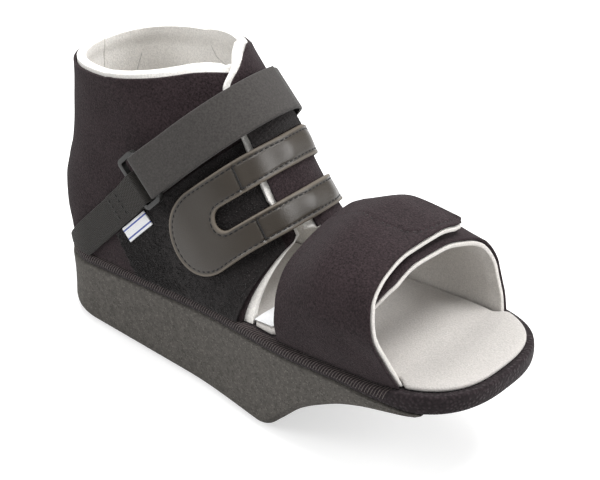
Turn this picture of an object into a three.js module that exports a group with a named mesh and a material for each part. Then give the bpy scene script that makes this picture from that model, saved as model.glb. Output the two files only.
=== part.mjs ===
// Forefoot offloading shoe: a thick foam wedge under heel and midfoot, a padded ankle bootee that closes
// with a ringed ankle strap and a forked instep strap, and an open toe band of two overlapping flaps.
//
// Millimetres, +Z up. Stations run along +X from the back of the sole to its toe, the near side is -Y
// and the far side +Y. At the end the shoe is moved so that its origin is under the middle of its box.

import * as THREE from "three";

// Sole and platform outline
const SHOE_LENGTH = 270;
const HEEL_HALF = 38.2;
const HEEL_ROUND = 35;
const HEEL_POWER = 2.2;
const BALL_HALF = 44.4;
const WAIST_STATION = 103;
const BALL_STATION = 184;
const TOE_ROUND = 57;
const TOE_POWER = 2.7;
const HEEL_STEPS = 8;
const TOE_STEPS = 9;
const SIDE_STEPS = 15;
const INSOLE_SIDE_STEPS = 30;

// Foot surface: the platform's top climbs towards the toe
const HEEL_HEIGHT = 38.3;
const RISE_PER_MM = 0.096;
const TOE_SPRING = 1.5;
const TOE_SPRING_START = 150;
const RIM_ROUND = 2.2;

// Foam sole
const SOLE_FRONT = 250;
const SOLE_EDGE = 5;
const SOLE_PROUD = 1.2;
const SOLE_ROWS = [
  { station: 0, bottom: 9.5 },
  { station: 5, bottom: 4.4 },
  { station: 12, bottom: 1.2 },
  { station: 22, bottom: 0 },
  { station: 156, bottom: 0 },
  { station: 162, bottom: 1.8 },
  { station: 170, bottom: 9.3 },
  { station: 183, bottom: 22.6 },
  { station: 196, bottom: 31.8 },
  { station: 212, bottom: 40.6 },
  { station: 230, bottom: 47.2 },
  { station: 252, bottom: 52.8 },
];
const PLATFORM_ROWS = [
  { station: 0, thickness: 6 },
  { station: 205, thickness: 6 },
  { station: 232, thickness: 7.8 },
  { station: 250, thickness: 10.2 },
  { station: 270, thickness: 9.6 },
];

// Footbed: it stops at the upper's walls, and reaches the rim where the foot shows
const INSOLE_THICKNESS = 2.4;
const INSOLE_ROUND = 1.1;
const INSOLE_ROWS = [
  { station: 0, inset: 7 },
  { station: 147, inset: 8 },
  { station: 152, inset: 3.8 },
  { station: 162.5, inset: 3.8 },
  { station: 167.5, inset: 8 },
  { station: 241, inset: 9 },
  { station: 252, inset: 3.4 },
  { station: 270, inset: 3.4 },
];
const LABEL = { station: 156, across: -24.3, length: 11.5, width: 26, thickness: 0.5 };

// Walls of the upper
const GAP = 0.3;
const COVER = 1.4;
const LINING = 3;
const LAYER_GAP = 0.5;
const WALL = COVER + LAYER_GAP + LINING;
const SEAT_BLEND = 20;

// Bootee sections, one for each height: back of the heel, length of the heel's round, half width, share of
// the platform's flare, station where the front starts to close, station of the front ridge, roundness
const BOOTEE_ROWS = [
  { height: 38, back: 0.8, round: 34.5, half: 37.3, flare: 1, shoulder: 110, front: 225, power: 3 },
  { height: 50, back: -1.2, round: 36, half: 37.8, flare: 1, shoulder: 105, front: 203, power: 2.8 },
  { height: 62, back: -2.8, round: 37, half: 38.3, flare: 0.9, shoulder: 98, front: 178, power: 2.6 },
  { height: 77, back: -2.6, round: 38.5, half: 38.6, flare: 0.7, shoulder: 92, front: 161.5, power: 2.5 },
  { height: 89, back: 0.4, round: 40, half: 38.6, flare: 0.45, shoulder: 86, front: 150.2, power: 2.4 },
  { height: 100, back: 3.6, round: 42, half: 38.3, flare: 0.2, shoulder: 80, front: 142.4, power: 2.35 },
  { height: 118, back: 5, round: 46, half: 37.6, flare: 0, shoulder: 70, front: 130.6, power: 2.3 },
  { height: 131, back: 5.4, round: 47, half: 37.2, flare: 0, shoulder: 63, front: 121.6, power: 2.1 },
  { height: 145, back: 5.6, round: 47.5, half: 36.6, flare: 0, shoulder: 58, front: 111.5, power: 1.8 },
  { height: 163, back: 5.6, round: 47.5, half: 36.2, flare: 0, shoulder: 54, front: 99, power: 1.6 },
];
const HEEL_SHARE = 0.3;
const SIDE_SHARE = 0.6;
const HEEL_SEAM_TURN = 0.0006;
const RIM_HEIGHT = 141.5;
const RIM_SLOPE = 0.165;
const LINING_RISE = 1.6;
const RIM_BLEND = 14;
const ROWS_TO_RIM = 0.5;

// Front edges of the quarters: the throat edge rises from the platform, then the near quarter follows the
// ridge and dips under the far one, which crosses the ridge as the overlapping flap
const THROAT_FOOT = 145.5;
const THROAT_CURVE = 0.009;
const THROAT_REACH = 5.6;
const NEAR_FRONT_TURN = -0.03;
const NEAR_TOP_TURN = 0.05;
const NEAR_TOP_START = 120;
const NEAR_TOP_END = 150;
const NEAR_RIM_DIP = 5;
const NEAR_DIP_START = 0.8;
const FLAP_EDGE_TURN = -0.07;
const FLAP_FOOT = 93;
const FLAP_CORNER = 105;
const FLAP_TOP_TURN = 0.06;
const FLAP_TOP_CORNER = 0.88;
const FLAP_TOP_EASE = 1.2;
const FLAP_PEAK = 2;
const FLAP_PEAK_START = 0.84;
const FLAP_LIFT = WALL + 1;
const FLAP_LIFT_START = 0.42;
const FLAP_LIFT_END = 0.06;

// Loop-pile panel on the near quarter
const PANEL_THICKNESS = 1;
const PANEL_STAND = 0.8;
const PANEL_HEEL_FOOT = 70;
const PANEL_HEEL_LEAN = 0.6;
const PANEL_HEEL_MIN = 56;
const PANEL_TOP = -3.8;
const PANEL_FRONT_MARGIN = 0.012;

// Strap frame: the straps climb forward at this angle, and lie side by side across it
const STRAP_SLOPE = THREE.MathUtils.degToRad(46.2);
const STRAP_WIDTH = 22.5;
const STRAP_THICKNESS = 1.8;
const STRAP_ACROSS = -15.5;
const STRAP_LAYER_PITCH = 2.3;
const STRAP_FREE_END = 14;
// Arch of the strap's under layer, from its foot on the far side over the ridge: sideways, then upwards
const STRAP_ROWS = [
  { side: 39.6, up: 57 },
  { side: 41, up: 90 },
  { side: 40.6, up: 125 },
  { side: 38.5, up: 150 },
  { side: 32, up: 172 },
  { side: 18, up: 188.4 },
  { side: 0, up: 193.3 },
  { side: -16, up: 189.2 },
  { side: -29, up: 177.4 },
  { side: -37, up: 161 },
];
const STRAP_STEPS = 34;
const FOLD_STEPS = 8;
const FOLD_LEAD = 20;

const RING_LENGTH = 28.2;
const RING_WIDTH = 15;
const RING_BAR = 2.6;
const RING_SIDE_BAR = 2.3;
const RING_DEPTH = 2.8;
const RING_CORNER = 3;
const RING_HOLE_CORNER = 1;
const RING_UP = 136;
const RING_SIDEWAYS = -44.2;

// Anchor webbing, from the platform's edge at the heel up to the ring
const WEBBING_WIDTH = 16.6;
const WEBBING_THICKNESS = 1.5;
const WEBBING_ACROSS = -12.8;
const WEBBING_LEAVES = 112;
const WEBBING_RETURN_END = 99;
const WEBBING_STEPS = 9;
const WEBBING_COLUMNS = 4;

const TAG = { across: 0.1, up: 108, width: 8, length: 24, thickness: 0.7, side: -41.1 };

// Forked strap, measured along the girth from the front ridge (near side negative) and across it
const FORK_THICKNESS = 1.6;
const FORK_STAND = 0.5;
const FORK_TOP = 1.5;
const FORK_BOTTOM = 42.4;
const FORK_SLOT_TOP = 16.3;
const FORK_SLOT_BOTTOM = 27.6;
const FORK_SLOT_CENTRE = -40;
const FORK_BOWL_CENTRE = -53;
const FORK_BOWL_REACH = 24;
const FORK_FAR_END = 70;
const FORK_ARM_SHARE = 0.4;
const FORK_CLIMB_START = -0.3;
const FORK_CLIMB_END = -0.12;
const GIRTH_REACH = 0.75;
const GIRTH_SAMPLES = 60;

// Toe band flaps: girth points of the outer face at the rear, middle and front stations
const BAND_REAR = 168.5;
const BAND_FRONT = 240;
const BAND_LEAN = 0.3;
const BAND_LEAN_BASE = 62;
const BAND_INSET = 2.2;
const FLAP_SEAT_BLEND = 0.1;
const FAR_END_RECEDE = 12;
const FAR_END_START = 0.78;
const NEAR_FLAP_ROWS = [
  { girth: 0.14, rearSide: -44.4, rearUp: 68, midSide: -47.2, midUp: 75, frontSide: -46, frontUp: 75 },
  { girth: 0.3, rearSide: -43.4, rearUp: 79.5, midSide: -49.4, midUp: 90, frontSide: -50.4, frontUp: 90 },
  { girth: 0.46, rearSide: -36.5, rearUp: 93.5, midSide: -44, midUp: 106.5, frontSide: -46.8, frontUp: 104 },
  { girth: 0.6, rearSide: -23, rearUp: 101.5, midSide: -29, midUp: 115.5, frontSide: -34, frontUp: 113.6 },
  { girth: 0.75, rearSide: -5, rearUp: 106, midSide: -8, midUp: 119.6, frontSide: -15, frontUp: 117.6 },
  { girth: 0.88, rearSide: 8, rearUp: 106.8, midSide: 9, midUp: 119, frontSide: 6, frontUp: 117.4 },
  { girth: 1, rearSide: 19, rearUp: 104.6, midSide: 24, midUp: 115, frontSide: 27, frontUp: 112.2 },
];
const FAR_FLAP_ROWS = [
  { girth: 0.11, rearSide: 42.6, rearUp: 67, midSide: 44.6, midUp: 74, frontSide: 41.4, frontUp: 74 },
  { girth: 0.24, rearSide: 41, rearUp: 79, midSide: 43.6, midUp: 88, frontSide: 41.4, frontUp: 86 },
  { girth: 0.36, rearSide: 35, rearUp: 90, midSide: 37, midUp: 101, frontSide: 35.6, frontUp: 99 },
  { girth: 0.47, rearSide: 22, rearUp: 96.5, midSide: 23, midUp: 108, frontSide: 23, frontUp: 106 },
  { girth: 0.59, rearSide: 7, rearUp: 99.4, midSide: 6, midUp: 112, frontSide: 7, frontUp: 110 },
  { girth: 0.7, rearSide: -8, rearUp: 98.6, midSide: -10, midUp: 112.6, frontSide: -12, frontUp: 110.8 },
  { girth: 0.81, rearSide: -21, rearUp: 95, midSide: -26.5, midUp: 108.4, frontSide: -30, frontUp: 106.8 },
  { girth: 0.9, rearSide: -32, rearUp: 87.6, midSide: -38.6, midUp: 99.6, frontSide: -41, frontUp: 98 },
  { girth: 1, rearSide: -37.4, rearUp: 78, midSide: -43, midUp: 88.6, frontSide: -44.4, frontUp: 88 },
];

// Grid fineness of the walls: columns, then rows
const NEAR_GRID = [24, 10];
const FAR_GRID = [29, 10];
const PANEL_GRID = [14, 9];
const NEAR_FLAP_GRID = [8, 16];
const FAR_FLAP_GRID = [8, 18];
const FORK_GRID = [44, 4];

const SOLE_FOAM = { color: 0x5b5953, roughness: 0.85, metalness: 0 };
const RIM_CLOTH = { color: 0x55494a, roughness: 0.95, metalness: 0 };
const COVER_CLOTH = { color: 0x3b3236, roughness: 0.95, metalness: 0 };
const LINING_CLOTH = { color: 0xc8c5c2, roughness: 0.95, metalness: 0 };
const LOOP_PILE = { color: 0x1d1a1b, roughness: 1, metalness: 0 };
const WOVEN_STRAP = { color: 0x55514e, roughness: 0.75, metalness: 0 };
const WEBBING_WEAVE = { color: 0x4a4741, roughness: 0.85, metalness: 0 };
const FORK_LEATHER = { color: 0x625d59, roughness: 0.5, metalness: 0 };
const RING_PLASTIC = { color: 0x2b2a2a, roughness: 0.35, metalness: 0 };
const TAG_CLOTH = { color: 0xdfe0e2, roughness: 0.8, metalness: 0 };

function clamp01(value) {
  return Math.min(Math.max(value, 0), 1);
}

function smooth(value) {
  const t = clamp01(value);
  return t * t * (3 - 2 * t);
}

function lerp(from, to, share) {
  return from + (to - from) * share;
}

// The value between low and high at which a function passes zero.
function solve(fn, low, high) {
  const startSign = Math.sign(fn(low));
  let from = low;
  let to = high;
  for (let step = 0; step < 32; step += 1) {
    const middle = (from + to) / 2;
    if (Math.sign(fn(middle)) === startSign) {
      from = middle;
    } else {
      to = middle;
    }
  }
  return (from + to) / 2;
}

// Slope of a column at a row, such that the curve never overshoots between rows.
function rowSlope(rows, key, column, index) {
  const secant = (i) => (rows[i + 1][column] - rows[i][column]) / (rows[i + 1][key] - rows[i][key]);
  if (index === 0) {
    return secant(0);
  }
  if (index === rows.length - 1) {
    return secant(index - 1);
  }
  const before = secant(index - 1);
  const after = secant(index);
  return before * after > 0 ? (2 * before * after) / (before + after) : 0;
}

// Every column of a table at one value of its key column, along smooth curves through the rows.
function rowAt(rows, key, value) {
  const inside = Math.min(Math.max(value, rows[0][key]), rows[rows.length - 1][key]);
  const next = Math.max(rows.findIndex((row) => row[key] >= inside), 1);
  const span = rows[next][key] - rows[next - 1][key];
  const t = (inside - rows[next - 1][key]) / span;
  const result = {};
  for (const column of Object.keys(rows[0])) {
    const from = rows[next - 1][column];
    const to = rows[next][column];
    const bendFrom = rowSlope(rows, key, column, next - 1) * span - (to - from);
    const bendTo = to - from - rowSlope(rows, key, column, next) * span;
    result[column] = lerp(from, to, t) + t * (1 - t) * lerp(bendFrom, bendTo, t);
  }
  return result;
}

// A closed body from points and triangles, turned so that its faces point out.
function bodyGeometry(points, triangles) {
  let volume = 0;
  for (const [a, b, c] of triangles) {
    volume += points[a].dot(new THREE.Vector3().crossVectors(points[b], points[c]));
  }
  const index = triangles.flatMap(([a, b, c]) => (volume > 0 ? [a, b, c] : [a, c, b]));
  const geometry = new THREE.BufferGeometry().setFromPoints(points);
  geometry.setIndex(index);
  geometry.computeVertexNormals();
  return geometry;
}

// A body through closed loops of equal length, whose ends are closed by strips from side to side.
function loftGeometry(loops) {
  const count = loops[0].length;
  const triangles = [];
  for (let start = 0; start < (loops.length - 1) * count; start += count) {
    for (let i = 0; i < count; i += 1) {
      const next = (i + 1) % count;
      triangles.push([start + i, start + next, start + count + next]);
      triangles.push([start + i, start + count + next, start + count + i]);
    }
  }
  const firstCap = [[0, count - 1, 1]];
  for (let left = 1, right = count - 1; right - left > 1; left += 1, right -= 1) {
    firstCap.push([left, right, left + 1]);
    if (right - left > 2) {
      firstCap.push([left + 1, right, right - 1]);
    }
  }
  const last = (loops.length - 1) * count;
  const lastCap = firstCap.map(([a, b, c]) => [last + a, last + c, last + b]);
  return bodyGeometry(loops.flat(), [...triangles, ...firstCap, ...lastCap]);
}

// A closed wall between two grids of points, joined round its edge.
function wallGeometry(outerAt, innerAt, [columns, rows]) {
  const points = [];
  for (const pointAt of [outerAt, innerAt]) {
    for (let i = 0; i <= columns; i += 1) {
      for (let j = 0; j <= rows; j += 1) {
        points.push(pointAt(i / columns, j / rows));
      }
    }
  }
  const inner = (columns + 1) * (rows + 1);
  const at = (i, j) => i * (rows + 1) + j;
  const triangles = [];
  const addQuad = (a, b, c, d) => triangles.push([a, b, c], [a, c, d]);
  const border = [];
  for (let i = 0; i < columns; i += 1) {
    border.push([at(i, 0), at(i + 1, 0)], [at(i + 1, rows), at(i, rows)]);
    for (let j = 0; j < rows; j += 1) {
      addQuad(at(i + 1, j), at(i + 1, j + 1), at(i, j + 1), at(i, j));
      addQuad(inner + at(i, j + 1), inner + at(i + 1, j + 1), inner + at(i + 1, j), inner + at(i, j));
    }
  }
  for (let j = 0; j < rows; j += 1) {
    border.push([at(columns, j), at(columns, j + 1)], [at(0, j + 1), at(0, j)]);
  }
  for (const [from, to] of border) {
    addQuad(to, from, inner + from, inner + to);
  }
  return bodyGeometry(points, triangles);
}

// The unit normal of a surface given by two parameters.
function normalAt(surface, p, q) {
  const step = 1e-3;
  const alongP = surface(p + step, q).sub(surface(p - step, q));
  const alongQ = surface(p, q + step).sub(surface(p, q - step));
  return alongP.cross(alongQ).normalize();
}

// Half width of the sole and platform at a station.
function halfWidth(station) {
  if (station < HEEL_ROUND) {
    const share = (HEEL_ROUND - station) / HEEL_ROUND;
    return HEEL_HALF * Math.max(1 - share ** HEEL_POWER, 0) ** (1 / HEEL_POWER);
  }
  const toeStart = SHOE_LENGTH - TOE_ROUND;
  if (station > toeStart) {
    const share = (station - toeStart) / TOE_ROUND;
    return BALL_HALF * Math.max(1 - share ** TOE_POWER, 0) ** (1 / TOE_POWER);
  }
  const flare = smooth((station - WAIST_STATION) / (BALL_STATION - WAIST_STATION));
  return lerp(HEEL_HALF, BALL_HALF, flare);
}

// Height of the platform's top at a station.
function platformTop(station) {
  const spring = Math.max(station - TOE_SPRING_START, 0) / (SHOE_LENGTH - TOE_SPRING_START);
  return HEEL_HEIGHT + RISE_PER_MM * station + TOE_SPRING * spring ** 2;
}

function platformBottom(station) {
  return platformTop(station) - rowAt(PLATFORM_ROWS, "station", station).thickness;
}

// The outline seen from above, from the heel along the near side and back along the far side.
function outlineLoop(end, sideSteps) {
  const toeStart = SHOE_LENGTH - TOE_ROUND;
  const stations = [];
  for (let i = 1; i <= HEEL_STEPS; i += 1) {
    stations.push(HEEL_ROUND * (1 - Math.cos(((i / HEEL_STEPS) * Math.PI) / 2)));
  }
  for (let i = 1; i <= sideSteps; i += 1) {
    stations.push(lerp(HEEL_ROUND, toeStart, i / sideSteps));
  }
  for (let i = 1; i < TOE_STEPS; i += 1) {
    stations.push(toeStart + TOE_ROUND * Math.sin(((i / TOE_STEPS) * Math.PI) / 2));
  }
  const kept = stations.filter((station) => station < end);
  const nearPoint = (station) => new THREE.Vector2(station, -halfWidth(station));
  const farPoint = (station) => new THREE.Vector2(station, halfWidth(station));
  const tip = end < SHOE_LENGTH ? [nearPoint(end), farPoint(end)] : [new THREE.Vector2(end, 0)];
  return [new THREE.Vector2(0, 0), ...kept.map(nearPoint), ...tip, ...kept.map(farPoint).reverse()];
}

// A loop of the outline moved inwards, at a height that depends on the station.
function insetLoop(outline, insetAt, heightAt) {
  return outline.map((point, i) => {
    const before = outline[(i + outline.length - 1) % outline.length];
    const after = outline[(i + 1) % outline.length];
    const along = after.clone().sub(before).normalize();
    const inward = new THREE.Vector2(-along.y, along.x);
    const moved = point.clone().addScaledVector(inward, insetAt(point.x));
    return new THREE.Vector3(moved.x, moved.y, heightAt(moved.x));
  });
}

function soleGeometry() {
  const outline = outlineLoop(SOLE_FRONT, SIDE_STEPS * 2);
  const bottom = (station) => rowAt(SOLE_ROWS, "station", station).bottom;
  const top = (station) => platformBottom(station) - GAP;
  const edge = (station) => Math.min(SOLE_EDGE, 0.6 * (top(station) - bottom(station)));
  const loop = (inset, heightAt) => insetLoop(outline, () => inset, heightAt);
  return loftGeometry([
    loop(SOLE_EDGE, bottom),
    loop(0.3 * SOLE_EDGE, (station) => bottom(station) + 0.3 * edge(station)),
    loop(-SOLE_PROUD, (station) => bottom(station) + edge(station)),
    loop(-SOLE_PROUD, top),
  ]);
}

function platformGeometry() {
  const outline = outlineLoop(SHOE_LENGTH, SIDE_STEPS);
  const loop = (inset, heightAt) => insetLoop(outline, () => inset, heightAt);
  return loftGeometry([
    loop(0.6 * RIM_ROUND, platformBottom),
    loop(0, (station) => platformBottom(station) + 0.6 * RIM_ROUND),
    loop(0, (station) => platformTop(station) - RIM_ROUND),
    loop(0.3 * RIM_ROUND, (station) => platformTop(station) - 0.3 * RIM_ROUND),
    loop(RIM_ROUND, platformTop),
  ]);
}

function insoleGeometry() {
  const outline = outlineLoop(SHOE_LENGTH, INSOLE_SIDE_STEPS);
  const inset = (station) => rowAt(INSOLE_ROWS, "station", station).inset;
  const height = (rise) => (station) => platformTop(station) + GAP + rise;
  return loftGeometry([
    insetLoop(outline, inset, height(0)),
    insetLoop(outline, inset, height(INSOLE_THICKNESS - INSOLE_ROUND)),
    insetLoop(outline, (station) => inset(station) + INSOLE_ROUND, height(INSOLE_THICKNESS)),
  ]);
}

// A point of the bootee's outer face at a height. Turn is 0 at the front ridge, -1 at the heel by the
// near side and 1 at the heel by the far side.
function booteePoint(turn, height) {
  const row = rowAt(BOOTEE_ROWS, "height", height);
  const wrapped = turn - 2 * Math.round(turn / 2);
  const run = 1 - Math.abs(wrapped);
  const heelEnd = row.back + row.round;
  const flared = (x, half) => half * lerp(1, halfWidth(Math.min(x, BALL_STATION)) / HEEL_HALF, row.flare);
  let x = 0;
  let y = 0;
  if (run < HEEL_SHARE) {
    const angle = ((run / HEEL_SHARE) * Math.PI) / 2;
    x = heelEnd - row.round * Math.cos(angle) ** (2 / HEEL_POWER);
    y = row.half * Math.sin(angle) ** (2 / HEEL_POWER);
  } else if (run < SIDE_SHARE) {
    x = lerp(heelEnd, row.shoulder, (run - HEEL_SHARE) / (SIDE_SHARE - HEEL_SHARE));
    y = flared(Math.max(x, HEEL_ROUND), row.half);
  } else {
    const angle = (((run - SIDE_SHARE) / (1 - SIDE_SHARE)) * Math.PI) / 2;
    x = lerp(row.shoulder, row.front, Math.sin(angle) ** (2 / row.power));
    y = flared(x, row.half * Math.max(Math.cos(angle), 0) ** (2 / row.power));
  }
  return new THREE.Vector3(x, wrapped < 0 ? -y : y, height);
}

// A point a distance outside the bootee's face, where a share of the normal's lean is kept.
function booteeOffset(turn, height, offset, lean = 1) {
  const point = booteePoint(turn, height);
  const normal = normalAt(booteePoint, turn, height);
  normal.z *= lean * smooth((height - platformTop(point.x)) / SEAT_BLEND);
  return aboveSeat(point.addScaledVector(normal.normalize(), offset));
}

// A wall's point, lifted where it would come too close to the platform.
function aboveSeat(point) {
  point.z = Math.max(point.z, platformTop(point.x) + GAP);
  return point;
}

// The turn at which the bootee's face passes a station, on the near (-1) or far (1) side. Past the ridge
// it is the ridge's.
function turnAtStation(station, height, side) {
  const reached = Math.min(station, booteePoint(0, height).x);
  return side * solve((turn) => booteePoint(turn, height).x - reached, 0, 1);
}

function throatTurn(height, side) {
  const rise = height - platformTop(THROAT_FOOT);
  const station = THROAT_FOOT + THROAT_REACH * Math.tanh((THROAT_CURVE * rise ** 2) / THROAT_REACH);
  return turnAtStation(station, height, side);
}

// Turn of the near quarter's front edge at a height in millimetres.
function nearFrontTurn(height) {
  const throat = Math.min(throatTurn(height, -1), NEAR_FRONT_TURN);
  return lerp(throat, NEAR_TOP_TURN, smooth((height - NEAR_TOP_START) / (NEAR_TOP_END - NEAR_TOP_START)));
}

// Lift of the near quarter's rim towards its front edge: it dips to go under the flap.
function nearRimLift(round) {
  return -NEAR_RIM_DIP * smooth((round - NEAR_DIP_START) / (1 - NEAR_DIP_START));
}

// Turn of the far quarter's front edge at a height, in millimetres and as a share of the wall: past the
// ridge it is the flap's edge, which slants back over the ridge to the corner where it meets the rim.
function farFrontTurn(height, share) {
  const throat = throatTurn(Math.min(height, FLAP_FOOT), 1);
  const edge = lerp(throat, FLAP_EDGE_TURN, smooth((height - FLAP_FOOT) / (FLAP_CORNER - FLAP_FOOT)));
  const slant = Math.max(share - FLAP_TOP_CORNER, 0) / (1 - FLAP_TOP_CORNER);
  return lerp(edge, FLAP_TOP_TURN, slant ** FLAP_TOP_EASE);
}

// Lift of the far quarter's rim towards its front edge: it climbs to the flap's corner.
function farRimLift(round) {
  return FLAP_PEAK * smooth((round - FLAP_PEAK_START) / (1 - FLAP_PEAK_START));
}

// How far the far quarter stands out, so that its flap lies over the near quarter.
function flapLift(turn) {
  return FLAP_LIFT * smooth((FLAP_LIFT_START - turn) / (FLAP_LIFT_START - FLAP_LIFT_END));
}

// A wall of the bootee from the heel seam to its front edge and from the platform to the collar's rim,
// between two depths below its outer face. Its rim is square to the wall, and its last row can stand
// higher than the rim.
function quarterGeometry({ side, frontTurn, lift, rimLift, grid }, outerDepth, innerDepth, rimRise) {
  const heelTurn = side * (1 - HEEL_SEAM_TURN);
  const turnAt = (round, height, share) => lerp(heelTurn, frontTurn(height, share), round);
  const faceAt = (depth) => (round, up) => {
    const seatHeight = platformTop(THROAT_FOOT * round);
    const seat = platformTop(booteePoint(turnAt(round, seatHeight, 0), seatHeight).x) + GAP;
    const rimStation = booteePoint(turnAt(round, RIM_HEIGHT, 1), RIM_HEIGHT).x;
    const rim = RIM_HEIGHT + RIM_SLOPE * rimStation + rimLift(round);
    const share = lerp(up, Math.sin((up * Math.PI) / 2), ROWS_TO_RIM);
    const height = lerp(seat, rim, share);
    const turn = turnAt(round, height, share);
    const lean = smooth((rim - height) / RIM_BLEND);
    return booteeOffset(turn, height + (up === 1 ? rimRise : 0), lift(turn) - depth, lean);
  };
  return wallGeometry(faceAt(outerDepth), faceAt(innerDepth), grid);
}

const NEAR_QUARTER = {
  side: -1,
  frontTurn: nearFrontTurn,
  lift: () => 0,
  rimLift: nearRimLift,
  grid: NEAR_GRID,
};
const FAR_QUARTER = {
  side: 1,
  frontTurn: farFrontTurn,
  lift: flapLift,
  rimLift: farRimLift,
  grid: FAR_GRID,
};

// Place of a point across the straps.
function strapAcross(point) {
  return point.x * Math.sin(STRAP_SLOPE) - point.z * Math.cos(STRAP_SLOPE);
}

// The loop panel: from its sewn edge to the throat and flap edges, up to the ankle strap.
function panelGeometry() {
  const turnAt = (round, height) => {
    const heelStation = PANEL_HEEL_FOOT - PANEL_HEEL_LEAN * (height - platformTop(PANEL_HEEL_FOOT));
    const heelTurn = turnAtStation(Math.max(heelStation, PANEL_HEEL_MIN), height, -1);
    const frontTurn = Math.min(nearFrontTurn(height), FLAP_EDGE_TURN) - PANEL_FRONT_MARGIN;
    return lerp(heelTurn, frontTurn, round);
  };
  const faceAt = (offset) => (round, up) => {
    const seatHeight = platformTop(lerp(PANEL_HEEL_FOOT, THROAT_FOOT, round));
    const foot = platformTop(booteePoint(turnAt(round, seatHeight), seatHeight).x) + 2 * GAP;
    const belowTop = (height) => strapAcross(booteePoint(turnAt(round, height), height)) - PANEL_TOP;
    const height = lerp(foot, solve(belowTop, foot, RIM_HEIGHT), up);
    return booteeOffset(turnAt(round, height), height, offset);
  };
  return wallGeometry(faceAt(PANEL_STAND + PANEL_THICKNESS), faceAt(PANEL_STAND), PANEL_GRID);
}

// Outer face of a toe flap: along from its rear to its front edge, and up its girth from the platform.
// The front edge can recede towards the flap's free end.
function flapPoint({ rows, side, recede }, along, girth) {
  const front = BAND_FRONT - recede * smooth((girth - FAR_END_START) / (1 - FAR_END_START));
  const base = lerp(BAND_REAR, front, along);
  const seat = { girth: 0 };
  for (const place of ["rear", "mid", "front"]) {
    seat[`${place}Side`] = side * (halfWidth(base) - BAND_INSET);
    seat[`${place}Up`] = platformTop(base) + GAP;
  }
  const row = rowAt([seat, ...rows], "girth", girth);
  const section = rowAt([
    { along: 0, side: row.rearSide, up: row.rearUp },
    { along: 0.5, side: row.midSide, up: row.midUp },
    { along: 1, side: row.frontSide, up: row.frontUp },
  ], "along", along);
  const lean = BAND_LEAN * along * (section.up - BAND_LEAN_BASE);
  return new THREE.Vector3(base - lean, section.side, section.up);
}

function flapGeometry(flap, outerDepth, innerDepth) {
  const surface = (along, girth) => flapPoint(flap, along, girth);
  const faceAt = (depth) => (along, girth) => {
    const normal = normalAt(surface, along, girth).multiplyScalar(-flap.side);
    normal.z *= smooth(girth / FLAP_SEAT_BLEND);
    return aboveSeat(surface(along, girth).addScaledVector(normal.normalize(), -depth));
  };
  return wallGeometry(faceAt(outerDepth), faceAt(innerDepth), flap.grid);
}

const NEAR_FLAP = { rows: NEAR_FLAP_ROWS, side: -1, recede: 0, grid: NEAR_FLAP_GRID };
const FAR_FLAP = { rows: FAR_FLAP_ROWS, side: 1, recede: FAR_END_RECEDE, grid: FAR_FLAP_GRID };

// Outline of a strap seen along its width: its centre line with half the thickness on both sides.
function strapOutline(line, thickness) {
  const sides = [1, -1].map((sign) => line.map((point, i) => {
    const before = line[Math.max(i - 1, 0)];
    const after = line[Math.min(i + 1, line.length - 1)];
    const along = after.clone().sub(before).normalize();
    return new THREE.Vector2(-along.y, along.x).multiplyScalar((sign * thickness) / 2).add(point);
  }));
  return [...sides[0], ...sides[1].reverse()];
}

// A strap through centre lines of equal length, one for each place across its width.
function strapGeometry(lineAt, thickness, centre, width, columns) {
  const loops = [];
  for (let i = 0; i <= columns; i += 1) {
    const across = centre + width * (i / columns - 0.5);
    const outline = strapOutline(lineAt(across), thickness);
    loops.push(outline.map((point) => new THREE.Vector3(point.x, point.y, across)));
  }
  return loftGeometry(loops);
}

// Half a turn round a ring bar, below it (-1) or above it (1), from the shoe's side to the outside.
function foldLine(barUp, radius, way) {
  const line = [];
  for (let i = 0; i <= FOLD_STEPS; i += 1) {
    const angle = (way * i * Math.PI) / FOLD_STEPS;
    const turned = new THREE.Vector2(Math.cos(angle), Math.sin(angle)).multiplyScalar(radius);
    line.push(turned.add(new THREE.Vector2(RING_SIDEWAYS, barUp)));
  }
  return line;
}

function foldRadius(thickness) {
  return Math.hypot(RING_BAR, RING_DEPTH) / 2 + GAP + thickness / 2;
}

// The ankle strap's centre line: up the far side, over the ridge, round the ring's upper bar and back.
function ankleStrapLine() {
  const barUp = RING_UP + (RING_WIDTH - RING_BAR) / 2;
  const radius = foldRadius(STRAP_THICKNESS);
  const fold = foldLine(barUp, radius, -1);
  const rows = STRAP_ROWS.map((row) => new THREE.Vector2(row.side, row.up));
  const under = new THREE.SplineCurve([...rows, fold[0]]).getSpacedPoints(STRAP_STEPS);
  const over = [];
  for (let i = STRAP_STEPS - 1; under[i].x < STRAP_FREE_END; i -= 1) {
    const along = under[i + 1].clone().sub(under[i - 1]).normalize();
    const share = smooth(under[i].distanceTo(fold[0]) / FOLD_LEAD);
    const pitch = lerp(2 * radius, STRAP_LAYER_PITCH, share);
    over.push(new THREE.Vector2(along.y, -along.x).multiplyScalar(pitch).add(under[i]));
  }
  return [...under.slice(0, -1), ...fold, ...over];
}

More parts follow.
